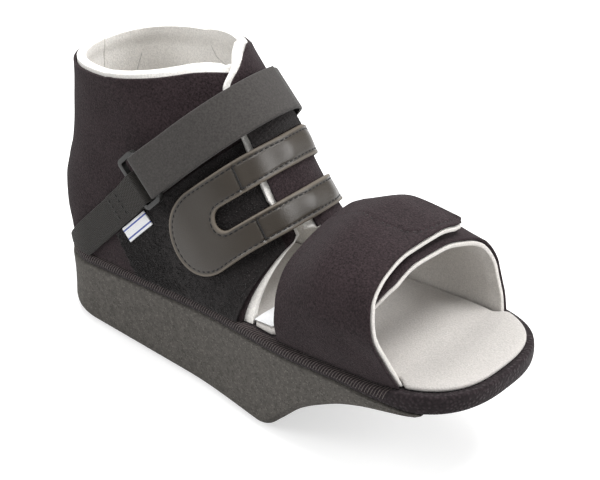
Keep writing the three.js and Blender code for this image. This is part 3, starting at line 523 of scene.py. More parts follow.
@lru_cache(maxsize=None)
def panel_span():
    """Heights of the loop panel's foot and of its top below the strap, at shares from heel to front."""
    around = np.linspace(0, 1, 61)
    seat_height = platform_top(lerp(PANEL_HEEL_FOOT, THROAT_FOOT, around))
    foot = platform_top(bootee_point(panel_turn(around, seat_height), seat_height)[..., 0]) + 2 * GAP
    below_top = lambda height: strap_across(bootee_point(panel_turn(around, height), height)) - PANEL_TOP
    return around, foot, solve(below_top, foot, np.full(foot.shape, RIM_HEIGHT))


def panel_place(around, up):
    """Turn and height of the loop panel at shares from its heel edge to its front and up to the strap."""
    shares, foot, top = panel_span()
    height = lerp(np.interp(around, shares, foot), np.interp(around, shares, top), up)
    return panel_turn(around, height), height


def three_rows(rear, middle, front, along):
    """Smooth reading between a rear, a middle and a front value at shares along."""
    first, second = middle - rear, front - middle
    same_way = first * second > 0
    slope = np.where(same_way, 2 * first * second / np.where(same_way, first + second, 1.0), 0.0)
    t = np.where(along < 0.5, 2 * along, 2 * along - 1)
    low = rear + first * t + t * t * (1 - t) * (first - slope)
    high = middle + second * t + t * (1 - t) ** 2 * (slope - second)
    return np.where(along < 0.5, low, high)


def toe_flap_point(rows, side, along, girth):
    """Outer face of a toe flap, from its rear to its front edge and up its girth from the platform."""
    along, girth = np.broadcast_arrays(np.asarray(along, float), np.asarray(girth, float))
    recede = FAR_END_RECEDE * smooth((girth - FAR_END_START) / (1 - FAR_END_START)) if side > 0 else 0.0
    points = np.zeros(along.shape + (3,))
    points[..., 0] = lerp(BAND_REAR, BAND_FRONT - recede, along)
    for share in np.unique(along):
        here = along == share
        base = lerp(BAND_REAR, BAND_FRONT, share)
        seat = (side * (half_width(base) - BAND_INSET), platform_top(base) + GAP)
        section = Rows((0,) + seat * 3, *rows)(girth[here])
        points[here, 1] = three_rows(*section[0::2], share)
        points[here, 2] = three_rows(*section[1::2], share)
    points[..., 0] -= BAND_LEAN * along * (points[..., 2] - BAND_LEAN_BASE)
    return points


def toe_flap_offset(rows, side, along, girth, depth):
    surface = lambda a, g: toe_flap_point(rows, side, a, g)
    normal = -side * normal_at(surface, along, girth)
    normal[..., 2] *= smooth(girth / FLAP_SEAT_BLEND)
    face = surface(along, girth)
    soft = sizes().puff / MM * ripple(face) * smooth(girth / FLAP_SEAT_BLEND)
    return above_seat(face + unit(normal) * np.asarray(soft - depth)[..., None])


def run_along(line):
    """Lengths along a line of points, from 0 at its start."""
    return np.concatenate([[0.0], np.cumsum(np.linalg.norm(np.diff(line, axis=0), axis=1))])


def read_along(wanted, run, line):
    """A line of points read at wanted lengths."""
    return np.stack([np.interp(wanted, run, line[:, i]) for i in range(line.shape[1])], -1)


def resample(line, count):
    """A line of points at equal distances along it."""
    run = run_along(line)
    return read_along(np.linspace(0.0, run[-1], count), run, line)


def spline(points, count):
    """A smooth line through points, at equal distances."""
    p = np.array([points[0], *points, points[-1]], float)
    t = np.linspace(0, 1, 24, endpoint=False)[:, None]
    pieces = []
    for a, b, c, d in zip(p[:-3], p[1:-2], p[2:-1], p[3:]):
        out, into = (c - a) / 2, (d - b) / 2
        pieces.append((2 * b - 2 * c + out + into) * t ** 3 + (3 * c - 3 * b - 2 * out - into) * t ** 2
                      + out * t + b)
    return resample(np.vstack([*pieces, p[-1:]]), count)


def fold_line(bar_up, radius, way, count):
    """Half a turn round a ring bar, from the shoe's side to the outside, below (-1) or above (1) it."""
    angle = way * np.linspace(0, math.pi, count)
    return np.stack([RING_SIDEWAYS + radius * np.cos(angle), bar_up + radius * np.sin(angle)], -1)


def fold_radius(thickness):
    return math.hypot(RING_BAR, RING_DEPTH) / 2 + GAP + thickness / 2


def ankle_strap_line():
    """Centre line of the ankle strap, sideways and up: over the ridge, through the ring and back."""
    radius = fold_radius(STRAP_THICKNESS)
    fold = fold_line(RING_UP + (RING_WIDTH - RING_BAR) / 2, radius, -1, 13)
    under = spline([*STRAP_ARCH, fold[0]], 150)
    back = under[-2:0:-1]
    along = unit(under[-3::-1][:len(back)] - np.vstack([under[-1:], back[:-1]]))
    share = smooth(np.linalg.norm(back - fold[0], axis=1) / FOLD_LEAD)
    pitch = lerp(2 * radius, STRAP_LAYER_PITCH, share)[:, None]
    over = back + np.stack([-along[:, 1], along[:, 0]], -1) * pitch
    over = over[:int(np.argmax(back[:, 0] > STRAP_FREE_END))]
    return np.vstack([under[:-1], fold, over])


def webbing_line(across):
    """Centre line of the webbing at a place across it: up the near side, round the ring and back."""
    radius = fold_radius(WEBBING_THICKNESS)
    fold = fold_line(RING_UP - (RING_WIDTH - RING_BAR) / 2 + WEBBING_SLACK, radius, 1, 11)

    def above(up):
        place = strap_to_shoe(0.0, up, across)
        return place[..., 2] - platform_top(place[..., 0]) - 2 * GAP
    seat_up = float(solve(above, np.array(0.0), np.array(WEBBING_LEAVES)))
    up = np.linspace(seat_up, WEBBING_LEAVES, 34)
    place = strap_to_shoe(0.0, up, across)
    turn = turn_at_station(place[:, 0], place[:, 2], -1)
    slant = normal_at(bootee_point, turn, place[:, 2])[:, 1]
    sideways = bootee_point(turn, place[:, 2])[:, 1] + (2 * GAP + WEBBING_THICKNESS / 2) / slant
    line = np.stack([sideways, up], -1)
    back_side = line[-1, 0] - WEBBING_THICKNESS - GAP
    back = np.stack([np.full(8, back_side), np.linspace(WEBBING_LEAVES, WEBBING_RETURN_END, 8)], -1)
    return np.vstack([line, fold, back])


class GirthTable:
    """Places and outward directions of the face that the forked strap lies on, by length and across."""
    lengths = np.arange(-92.0, 82.0, 1.0)
    rows = np.linspace(FORK_TOP - 10, FORK_BOTTOM + 1, 27)

    def __init__(self):
        turn = np.linspace(-0.75, 0.75, 301)
        low, high = np.full(turn.shape, HEEL_HEIGHT), np.full(turn.shape, RIM_HEIGHT + 30)
        climb = smooth((turn - FORK_CLIMB_START) / (FORK_CLIMB_END - FORK_CLIMB_START))
        near = lerp(PANEL_STAND + PANEL_THICKNESS, FLAP_LIFT, climb)
        lift = np.where(turn < 0, near, flap_lift(turn)) + FORK_STAND
        faces, ways = [], []
        for across in self.rows:
            height = solve(lambda z: strap_across(bootee_point(turn, z)) - across, low, high)
            face = bootee_offset(turn, height, lift)
            run = run_along(face)
            run -= run[len(turn) // 2]
            way = bootee_offset(turn, height, lift + 1) - face
            faces.append(read_along(self.lengths, run, face))
            ways.append(read_along(self.lengths, run, way))
        self.faces, self.ways = np.array(faces), np.array(ways)

    def __call__(self, along, across, lift):
        """Shoe points at lengths and places across, lifted off the face."""
        i = np.clip((along - self.lengths[0]), 0, len(self.lengths) - 1.001)
        j = np.clip((across - self.rows[0]) / (self.rows[1] - self.rows[0]), 0, len(self.rows) - 1.001)
        i0, j0 = i.astype(int), j.astype(int)
        s, t = (i - i0)[..., None], (j - j0)[..., None]
        read = lambda grid: lerp(lerp(grid[j0, i0], grid[j0, i0 + 1], s),
                                 lerp(grid[j0 + 1, i0], grid[j0 + 1, i0 + 1], s), t)
        return read(self.faces) + unit(read(self.ways)) * np.asarray(lift)[..., None]


def fork_edge(around, centre, reach, top, bottom):
    """A U-shaped edge of the forked strap: down one arm, round the bowl and along the other arm."""
    middle, half = (top + bottom) / 2, (bottom - top) / 2
    angle = np.clip((around - FORK_ARM_SHARE) / (1 - 2 * FORK_ARM_SHARE), 0, 1) * math.pi
    arm = np.clip(np.minimum(around, 1 - around) / FORK_ARM_SHARE, 0, 1)
    along = lerp(FORK_FAR_END, centre, arm) - reach * np.sin(angle)
    return np.stack([along, middle - half * np.cos(angle)], -1)


def fork_flat(around, outwards):
    """Flat place of the forked strap between its slot's edge and its outer edge."""
    slot_reach = (FORK_SLOT_BOTTOM - FORK_SLOT_TOP) / 2
    slot = fork_edge(around, FORK_SLOT_CENTRE, slot_reach, FORK_SLOT_TOP, FORK_SLOT_BOTTOM)
    outer = fork_edge(around, FORK_BOWL_CENTRE, FORK_BOWL_REACH, FORK_TOP, FORK_BOTTOM)
    return lerp(slot, outer, np.asarray(outwards)[..., None]), np.linalg.norm(outer - slot, axis=-1)


def sizes():
    return bpy.context.scene.shoe_sizes


def colours():
    return bpy.context.scene.shoe_colours


def write_places(bm, points):
    placed = (np.asarray(points) + SHOE_ORIGIN) * MM
    for vert, place in zip(bm.verts, placed):
        vert.co = place


def read_grid(bm):
    """The grid shares along and across, and the level, that a fresh grid's vertices stand at."""
    places = np.array([vert.co for vert in bm.verts])
    return places[:, 0] + 0.5, places[:, 1] + 0.5, places[:, 2]


def mark_run(bm, along, across):
    """Keeps the lengths along and across a strip on its vertices, for patterns that follow it."""
    for name, values in (("along", along), ("across", across)):
        layer = bm.verts.layers.float.new(name)
        for vert, value in zip(bm.verts, values):
            vert[layer] = value


def wall_mesh(columns, rows, point_at, run=(100.0, 100.0), edge=0.5, edge_segments=2):
    """A closed wall from a grid: its level 0 is the outer face and level 1 the inner one."""
    bm = bmesh.new()
    bmesh.ops.create_grid(bm, x_segments=columns, y_segments=rows, size=0.5)
    made = bmesh.ops.extrude_face_region(bm, geom=bm.faces[:] + bm.edges[:] + bm.verts[:], use_keep_orig=True)
    inner = [item for item in made["geom"] if isinstance(item, bmesh.types.BMVert)]
    bmesh.ops.translate(bm, verts=inner, vec=(0, 0, 1))
    along, across, level = read_grid(bm)
    at_rim = (np.minimum(along, across) < 1e-4) | (np.maximum(along, across) > 1 - 1e-4)
    bm.verts.index_update()
    rims = [e for e in bm.edges if at_rim[e.verts[0].index] and at_rim[e.verts[1].index]
            and abs(e.verts[0].co.z - e.verts[1].co.z) < 0.5]
    mark_run(bm, along * run[0], across * run[1])
    write_places(bm, point_at(along, across, level))
    bmesh.ops.recalc_face_normals(bm, faces=bm.faces[:])
    if edge:
        sharp = [e for e in rims if e.is_valid and len(e.link_faces) == 2]
        sharp = [e for e in sharp if e.calc_face_angle(0.0) > 0.9]
        bmesh.ops.bevel(bm, geom=sharp, offset=edge * MM, offset_type="OFFSET", segments=edge_segments,
                        profile=0.5, affect="EDGES", material=-1, clamp_overlap=True)
    return bm


def slab_mesh(columns, rows, point_at):
    """A closed slab: a grid closed round the outline, from the middle of one face to that of the other."""
    bm = bmesh.new()
    bmesh.ops.create_grid(bm, x_segments=columns, y_segments=rows, size=0.5)
    around, up, _ = read_grid(bm)
    mark_run(bm, around * 650.0, up * 30.0)
    write_places(bm, point_at(around, up))
    bmesh.ops.remove_doubles(bm, verts=bm.verts[:], dist=0.02 * MM)
    bmesh.ops.dissolve_degenerate(bm, edges=bm.edges[:], dist=0.01 * MM)
    return bm


def add_piece(name, bm, material, slot, *nodes):
    """The finished mesh as a piece that rides on the shoe and stands for the named solids."""
    bmesh.ops.recalc_face_normals(bm, faces=bm.faces[:])
    mesh = bpy.data.meshes.new(name)
    bm.to_mesh(mesh)
    bm.free()
    return place_piece(name, mesh, material, slot, *nodes)


def place_piece(name, mesh, material, slot, *nodes):
    mesh.polygons.foreach_set("use_smooth", [True] * len(mesh.polygons))
    mesh.materials.clear()
    mesh.materials.append(material)
    piece = bpy.data.objects.new(name, mesh)
    bpy.context.scene.collection.objects.link(piece)
    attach(piece, BODY)
    if nodes:
        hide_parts(*nodes)
    return piece


def add_threads(name, runs, radius, material, slot, resolution=1):
    """Short threads along runs of shoe points, joined into one piece."""
    data = bpy.data.curves.new(name, "CURVE")
    data.dimensions = "3D"
    data.bevel_depth = radius
    data.bevel_resolution = resolution
    data.use_fill_caps = True
    for run in runs:
        placed = (np.asarray(run) + SHOE_ORIGIN) * MM
        thread = data.splines.new("POLY")
        thread.points.add(len(placed) - 1)
        thread.points.foreach_set("co", np.hstack([placed, np.ones((len(placed), 1))]).ravel())
    helper = bpy.data.objects.new(name + "_line", data)
    mesh = bpy.data.meshes.new_from_object(helper)
    mesh.name = name
    bpy.data.objects.remove(helper)
    bpy.data.curves.remove(data)
    return place_piece(name, mesh, material, slot)


def stitch_runs(face, way, sink=0.35):
    """Stitches along a line of face points with outward directions: each rises from the cloth and dips in."""
    pitch, stitch = sizes().stitch_pitch / MM, sizes().stitch / MM
    radius = sizes().thread / MM
    run = run_along(face)
    starts = np.arange(0.3 * pitch, run[-1] - stitch, pitch)
    arch = np.linspace(0, 1, 5)
    lift = radius * 0.6 * np.sin(arch * math.pi) - sink * (1 - np.sin(arch * math.pi))
    runs = []
    for start in starts:
        place = start + arch * stitch
        outward = unit(read_along(place, run, way))
        runs.append(read_along(place, run, face) + outward * lift[:, None])
    return runs


def make(tree, kind, values=None, **settings):
    """A node with its settings; a value is a number or colour for an input, or a socket to link to it."""
    node = tree.nodes.new(kind)
    for name, value in settings.items():
        setattr(node, name, value)
    for name, value in (values or {}).items():
        if isinstance(value, bpy.types.NodeSocket):
            tree.links.new(value, node.inputs[name])
        else:
            node.inputs[name].default_value = value
    return node


def math_node(tree, operation, a, b=0.0):
    return make(tree, "ShaderNodeMath", {0: a, 1: b}, operation=operation).outputs[0]


def span_node(tree, value, low, high):
    return make(tree, "ShaderNodeMapRange", {"Value": value, "From Min": low, "From Max": high}).outputs[0]


def mix_node(tree, share, low, high):
    node = make(tree, "ShaderNodeMix", {0: share, 6: low, 7: high}, data_type="RGBA")
    return node.outputs[2]


def noise_node(tree, scale, detail=2.0, roughness=0.5):
    where = make(tree, "ShaderNodeTexCoord").outputs["Object"]
    noise = make(tree, "ShaderNodeTexNoise", {"Vector": where, "Scale": scale, "Detail": detail,
                                              "Roughness": roughness})
    return noise.outputs[0]


def effect(name, inputs, outputs, build):
    """A shared effect as a node group, made once."""
    tree = bpy.data.node_groups.get(name)
    if tree is None:
        tree = bpy.data.node_groups.new(name, "ShaderNodeTree")
        for label, default in inputs.items():
            socket = tree.interface.new_socket(label, in_out="INPUT", socket_type="NodeSocketFloat")
            socket.default_value = default
        for label in outputs:
            tree.interface.new_socket(label, in_out="OUTPUT", socket_type="NodeSocketFloat")
        enter, leave = make(tree, "NodeGroupInput"), make(tree, "NodeGroupOutput")
        for label, socket in build(tree, enter.outputs).items():
            tree.links.new(socket, leave.inputs[label])
    return tree


def build_nap(tree, given):
    fine = noise_node(tree, given["Fibre Scale"], 3.0, 0.7)
    patch = noise_node(tree, given["Patch Scale"], 2.0)
    fibres, patches = math_node(tree, "MULTIPLY", fine, 0.88), math_node(tree, "MULTIPLY", patch, 0.12)
    both = math_node(tree, "ADD", fibres, patches)
    return {"Nap": span_node(tree, both, 0.34, 0.68), "Height": fine}


def nap_effect():
    """Brushed cloth: uneven fibres in broad patches."""
    return effect("Brushed Nap", {"Fibre Scale": 900.0, "Patch Scale": 90.0}, ("Nap", "Height"), build_nap)


def build_weave(tree, given):
    def wave(value, pitch):
        turns = math_node(tree, "DIVIDE", value, pitch)
        return math_node(tree, "SINE", math_node(tree, "MULTIPLY", turns, 2 * math.pi))
    warp = wave(given["Across"], given["Warp Pitch"])
    weft = wave(given["Along"], given["Weft Pitch"])
    both = math_node(tree, "MULTIPLY", warp, weft)
    rib = math_node(tree, "ABSOLUTE", warp)
    height = math_node(tree, "ADD", math_node(tree, "MULTIPLY", both, 0.5), rib)
    return {"Height": height, "Mask": span_node(tree, height, -0.4, 1.2)}


def weave_effect():
    """Threads over and under along a strip."""
    inputs = {"Along": 0.0, "Across": 0.0, "Warp Pitch": 0.9, "Weft Pitch": 0.9}
    return effect("Strip Weave", inputs, ("Height", "Mask"), build_weave)


def build_speckle(tree, given):
    where = make(tree, "ShaderNodeTexCoord").outputs["Object"]
    cells = make(tree, "ShaderNodeTexVoronoi", {"Vector": where, "Scale": given["Cell Scale"]})
    pick = make(tree, "ShaderNodeSeparateColor", {0: cells.outputs["Color"]}).outputs[0]
    near = span_node(tree, cells.outputs["Distance"], 0.55, 0.25)
    light = math_node(tree, "MULTIPLY", math_node(tree, "GREATER_THAN", pick, 0.8), near)
    dark = math_node(tree, "MULTIPLY", math_node(tree, "LESS_THAN", pick, 0.25), near)
    return {"Light": light, "Dark": dark, "Height": cells.outputs["Distance"]}


def speckle_effect():
    """Light and dark grains of moulded foam."""
    return effect("Foam Speckle", {"Cell Scale": 700.0}, ("Light", "Dark", "Height"), build_speckle)


def build_grain(tree, given):
    where = make(tree, "ShaderNodeTexCoord").outputs["Object"]
    cells = make(tree, "ShaderNodeTexVoronoi", {"Vector": where, "Scale": given["Grain Scale"]},
                 feature="DISTANCE_TO_EDGE")
    crease = span_node(tree, cells.outputs["Distance"], 0.0, 0.12)
    cloud = noise_node(tree, 60.0, 3.0)
    return {"Height": crease, "Cloud": cloud}


def grain_effect():
    """Fine creases and soft clouds of grained leather."""
    return effect("Leather Grain", {"Grain Scale": 900.0}, ("Height", "Cloud"), build_grain)


def build_lint(tree, given):
    fine = noise_node(tree, given["Lint Scale"], 2.0, 0.8)
    return {"Lint": span_node(tree, fine, 0.66, 0.76)}


def lint_effect():
    """Stray light fibres caught on dark cloth."""
    return effect("Lint", {"Lint Scale": 1500.0}, ("Lint",), build_lint)


def new_material(name, roughness, sheen=0.0, specular=0.5):
    """A material with its shader; the numbers that are the same all over are set on the shader itself."""
    material = bpy.data.materials.new(name)
    material.use_nodes = True
    tree = material.node_tree
    shader = tree.nodes["Principled BSDF"]
    shader.inputs["Roughness"].default_value = roughness
    shader.inputs["Sheen Weight"].default_value = sheen
    shader.inputs["Sheen Roughness"].default_value = 0.5
    shader.inputs["Specular IOR Level"].default_value = specular
    return material, tree, shader


def group_node(tree, group, **values):
    node = tree.nodes.new("ShaderNodeGroup")
    node.node_tree = group
    for name, value in values.items():
        socket = node.inputs[name.replace("_", " ")]
        if isinstance(value, bpy.types.NodeSocket):
            tree.links.new(value, socket)
        else:
            socket.default_value = value
    return node


def set_bump(tree, shader, height, depth, strength=1.0):
    relief = make(tree, "ShaderNodeBump", {"Height": height, "Distance": depth * MM, "Strength": strength})
    tree.links.new(relief.outputs[0], shader.inputs["Normal"])


def shade(rgb, factor):
    return (*[min(1.0, c * factor) for c in rgb], 1.0)


def strip_run(tree):
    """Lengths along and across a strip, in millimetres."""
    along = make(tree, "ShaderNodeAttribute", attribute_name="along").outputs["Fac"]
    across = make(tree, "ShaderNodeAttribute", attribute_name="across").outputs["Fac"]
    return along, across


def velour_material():
    found = bpy.data.materials.get("velour")
    if found:
        return found
    material, tree, shader = new_material("velour", 0.95, sheen=0.05, specular=0.08)
    nap = group_node(tree, nap_effect(), Fibre_Scale=1150.0, Patch_Scale=55.0)
    rgb = colours().velour
    tone = mix_node(tree, nap.outputs["Nap"], shade(rgb, 0.35), shade(rgb, 1.8))
    lint = group_node(tree, lint_effect(), Lint_Scale=1300.0)
    share = math_node(tree, "MULTIPLY", lint.outputs["Lint"], 0.35)
    tree.links.new(mix_node(tree, share, tone, shade(rgb, 3.2)), shader.inputs["Base Color"])
    set_bump(tree, shader, nap.outputs["Height"], 0.5)
    return material


def fleece_material(name, rgb):
    found = bpy.data.materials.get(name)
    if found:
        return found
    material, tree, shader = new_material(name, 1.0, sheen=0.3, specular=0.15)
    nap = group_node(tree, nap_effect(), Fibre_Scale=1300.0, Patch_Scale=45.0)
    tone = mix_node(tree, nap.outputs["Nap"], shade(rgb, 0.78), shade(rgb, 1.08))
    tree.links.new(tone, shader.inputs["Base Color"])
    set_bump(tree, shader, nap.outputs["Height"], 0.45)
    return material


def foam_material():
    material, tree, shader = new_material("moulded_foam", 0.85, specular=0.25)
    grains = group_node(tree, speckle_effect(), Cell_Scale=1100.0)
    rgb = colours().foam
    cloud = span_node(tree, noise_node(tree, 420.0, 4.0, 0.7), 0.35, 0.65)
    base = mix_node(tree, cloud, shade(rgb, 0.75), shade(rgb, 1.2))
    light = mix_node(tree, math_node(tree, "MULTIPLY", grains.outputs["Light"], 0.65), base, shade(rgb, 2.0))
    dark = mix_node(tree, math_node(tree, "MULTIPLY", grains.outputs["Dark"], 0.7), light, shade(rgb, 0.35))
    tree.links.new(dark, shader.inputs["Base Color"])
    set_bump(tree, shader, grains.outputs["Height"], 0.06)
    return material


def rim_material():
    material, tree, shader = new_material("rim_knit", 0.95, sheen=0.08, specular=0.15)
    knit = group_node(tree, speckle_effect(), Cell_Scale=620.0)
    nap = group_node(tree, nap_effect(), Fibre_Scale=700.0, Patch_Scale=120.0)
    rgb = colours().rim
    tone = mix_node(tree, nap.outputs["Nap"], shade(rgb, 0.6), shade(rgb, 1.5))
    loops = span_node(tree, knit.outputs["Height"], 0.6, 0.1)
    share = math_node(tree, "MULTIPLY", loops, 0.6)
    tree.links.new(mix_node(tree, share, tone, shade(rgb, 2.8)), shader.inputs["Base Color"])
    set_bump(tree, shader, loops, 0.3)
    return material


def pile_material():
    found = bpy.data.materials.get("black_pile")
    if found:
        return found
    material, tree, shader = new_material("black_pile", 0.95, sheen=0.05, specular=0.2)
    nap = group_node(tree, nap_effect(), Fibre_Scale=1400.0, Patch_Scale=160.0)
    rgb = colours().pile
    tone = mix_node(tree, nap.outputs["Nap"], shade(rgb, 0.4), shade(rgb, 1.9))
    lint = group_node(tree, lint_effect(), Lint_Scale=850.0)
    share = math_node(tree, "MULTIPLY", lint.outputs["Lint"], 0.8)
    tree.links.new(mix_node(tree, share, tone, shade(rgb, 9.0)), shader.inputs["Base Color"])
    set_bump(tree, shader, nap.outputs["Height"], 1.0)
    return material


def strip_material(name, rgb, roughness, warp, weft, depth):
    """A woven strip: threads along and across, and slightly uneven dye."""
    material, tree, shader = new_material(name, roughness, sheen=0.1, specular=0.3)
    along, across = strip_run(tree)
    weave = group_node(tree, weave_effect(), Along=along, Across=across, Warp_Pitch=warp, Weft_Pitch=weft)
    cloud = span_node(tree, noise_node(tree, 1050.0, 3.0, 0.7), 0.34, 0.66)
    base = mix_node(tree, cloud, shade(rgb, 0.6), shade(rgb, 1.4))
    tone = mix_node(tree, math_node(tree, "MULTIPLY", weave.outputs["Mask"], 0.3), base, shade(rgb, 1.35))
    tree.links.new(tone, shader.inputs["Base Color"])
    set_bump(tree, shader, weave.outputs["Height"], depth)
    return material


def leather_material():
    material, tree, shader = new_material("smooth_leather", 0.36, specular=0.5)
    grain = group_node(tree, grain_effect(), Grain_Scale=1100.0)
    rgb, edge_rgb = colours().leather, colours().leather_edge
    cloud = span_node(tree, grain.outputs["Cloud"], 0.3, 0.7)
    base = mix_node(tree, cloud, shade(rgb, 0.92), shade(rgb, 1.08))
    edge = make(tree, "ShaderNodeAttribute", attribute_name="edge").outputs["Fac"]
    tree.links.new(mix_node(tree, edge, base, shade(edge_rgb, 1.0)), shader.inputs["Base Color"])
    rough = make(tree, "ShaderNodeMapRange", {"Value": grain.outputs["Cloud"], "To Min": 0.28, "To Max": 0.4})
    matt = math_node(tree, "ADD", rough.outputs[0], math_node(tree, "MULTIPLY", edge, 0.25))
    tree.links.new(matt, shader.inputs["Roughness"])
    set_bump(tree, shader, grain.outputs["Height"], 0.025)
    return material


def plastic_material():
    material, tree, shader = new_material("moulded_plastic", 0.35, specular=0.4)
    rgb = colours().plastic
    wear = span_node(tree, noise_node(tree, 400.0, 4.0), 0.45, 0.75)
    tree.links.new(mix_node(tree, wear, shade(rgb, 0.9), shade(rgb, 1.35)), shader.inputs["Base Color"])
    rough = make(tree, "ShaderNodeMapRange", {"Value": wear, "To Min": 0.28, "To Max": 0.5})
    tree.links.new(rough.outputs[0], shader.inputs["Roughness"])
    return material


def label_material(name, striped):
    """Fine white label cloth, with a plain stripe along both long edges where it has one."""
    material, tree, shader = new_material(name, 0.8, sheen=0.1, specular=0.3)
    along, across = strip_run(tree)
    weave = group_node(tree, weave_effect(), Along=along, Across=across, Warp_Pitch=0.5, Weft_Pitch=0.5)
    rgb = colours().label
    tone = mix_node(tree, weave.outputs["Mask"], shade(rgb, 0.9), shade(rgb, 1.05))
    if striped:
        from_middle = math_node(tree, "ABSOLUTE", math_node(tree, "SUBTRACT", across, TAG_WIDTH / 2))
        inner = math_node(tree, "GREATER_THAN", from_middle, 1.9)
        outer = math_node(tree, "LESS_THAN", from_middle, 2.7)
        tone = mix_node(tree, math_node(tree, "MULTIPLY", inner, outer), tone, shade(colours().stripe, 1.0))
    tree.links.new(tone, shader.inputs["Base Color"])
    set_bump(tree, shader, weave.outputs["Height"], 0.08)
    return material


def thread_material(name, rgb):
    found = bpy.data.materials.get(name)
    if found:
        return found
    material, tree, shader = new_material(name, 0.75, sheen=0.2, specular=0.3)
    twist = noise_node(tree, 1600.0, 2.0)
    tone = mix_node(tree, span_node(tree, twist, 0.35, 0.65), shade(rgb, 0.7), shade(rgb, 1.3))
    tree.links.new(tone, shader.inputs["Base Color"])
    set_bump(tree, shader, twist, 0.15)
    return material


def dark_thread():
    return thread_material("dark_thread", colours().dark_thread)


def outline_edge(around, end):
    """Outline points and the flat directions from them to the inside."""
    step = 1e-3
    along = unit(outline((around + step) % 1.0, end) - outline((around - step) % 1.0, end))
    return outline(around, end), np.stack([-along[:, 1], along[:, 0]], -1)


def slab_point(end, profile, spine):
    """Maps a slab's grid: its rows run from the middle of the lower face over the edge to the upper one.

    For stations, the profile gives each row's inset, its share of the way to the middle line and its height.
    """
    def point_at(around, up):
        edge, inward = outline_edge(around, end)
        middle = np.stack([np.clip(edge[:, 0], *spine), np.zeros(len(edge))], -1)
        rows = profile(edge[:, 0])
        place = up * (len(rows) - 1)
        index = np.clip(np.rint(place).astype(int), 0, len(rows) - 1)
        points = np.zeros((len(edge), 3))
        for number, (inset, share, height_at) in enumerate(rows):
            here = index == number
            flat = edge[here] + inward[here] * np.broadcast_to(inset, len(edge))[here][:, None]
            flat = lerp(flat, middle[here], share)
            points[here, :2] = flat
            points[here, 2] = height_at(flat[:, 0], share)
        return points
    return point_at


def shoe_sole():
    top = lambda x, share: platform_bottom(x) - GAP
    bottom = lambda x: SOLE_BOTTOM(x)[0]
    room = lambda x: np.minimum(SOLE_EDGE, 0.6 * (platform_bottom(x) - GAP - bottom(x)))

    def profile(station):
        rows = [(SOLE_EDGE + 1.5, share, lambda x, s: bottom(x)) for share in (1.0, 0.7, 0.35, 0.0)]
        for step in range(7):
            angle = step / 6 * math.pi / 2
            inset = SOLE_EDGE - (SOLE_EDGE + SOLE_PROUD) * math.sin(angle)
            rise = 1 - math.cos(angle)
            rows.append((inset, 0.0, lambda x, s, rise=rise: bottom(x) + room(x) * rise))
        for level in (0.12, 0.25, 0.4, 0.55, 0.7, 0.85, 0.95):
            hollow = -SOLE_PROUD + 0.5 * math.sin(level * math.pi)
            rows.append((hollow, 0.0, lambda x, s, level=level: lerp(bottom(x) + room(x), top(x, s), level)))
        rows.append((-SOLE_PROUD + 0.5, 0.0, top))
        rows += [(1.5, share, top) for share in (0.0, 0.5, 1.0)]
        return rows
    rows = len(profile(np.zeros(1))) - 1
    bm = slab_mesh(360, rows, slab_point(SOLE_FRONT, profile, SOLE_SPINE))
    add_piece("sole_foam", bm, foam_material(), "sole_foam", "sole")


def rim_profile(station, share):
    """Inset and height round the rim's section at a share from its foot on the side to its top inside."""
    bottom, top = platform_bottom(station), platform_top(station)
    height = lerp(bottom + RIM_FOOT, top, smooth(share / RIM_TOP_SHARE))
    bulge = RIM_BULGE * np.sin(np.clip(share / RIM_TOP_SHARE, 0, 1) * math.pi)
    turn = np.clip((share - RIM_TURN_SHARE) / (1 - RIM_TURN_SHARE), 0, 1)
    return GAP - bulge + RIM_TURN_REACH * turn ** RIM_TURN_EASE, height


def shoe_platform():
    def profile(station):
        rows = [(2.0, share, lambda x, s: platform_bottom(x)) for share in (1.0, 0.5, 0.0)]
        for share in np.linspace(0, 1, 15):
            inset = rim_profile(station, share)[0]
            rows.append((inset, 0.0, lambda x, s, share=share: rim_profile(x, share)[1]))
        rows += [(5.3, share, lambda x, s: platform_top(x)) for share in (0.35, 0.7, 1.0)]
        return rows
    rows = len(profile(np.zeros(1))) - 1
    bm = slab_mesh(360, rows, slab_point(SHOE_LENGTH, profile, PLATFORM_SPINE))
    add_piece("platform_wrap", bm, rim_material(), "rim_cloth", "platform")


def rim_point(around, share, lift):
    """A shoe point on the platform's rim, lifted off it."""
    edge, inward = outline_edge(around, SHOE_LENGTH)
    inset, height = rim_profile(edge[:, 0], share)
    flat = edge + inward * (inset - lift * np.cos(share * math.pi / 2))[:, None]
    return np.column_stack([flat, height + lift * np.sin(share * math.pi / 2)])


def rim_stitching():
    """Slanted overlock stitches round the rim, which end where the toe wrap starts."""
    around = np.linspace(0, 1, 2401)
    run = run_along(outline(around, SHOE_LENGTH))
    share = np.linspace(*OVERLOCK_SHARES, 7)
    runs = []
    for place in np.arange(1.0, run[-1] - 1.0, sizes().rim_pitch / MM):
        side = 1.0 if place < run[-1] / 2 else -1.0
        turn = np.interp(place + side * OVERLOCK_SLANT * (share - 0.5) * 2, run, around)
        if outline(turn[3:4], SHOE_LENGTH)[0, 0] < OVERLOCK_END:
            runs.append(rim_point(turn, share, OVERLOCK_LIFT))
    thread = thread_material("rim_thread", colours().rim_thread)
    add_threads("rim_stitching", runs, sizes().rim_thread, thread, "rim_cloth")


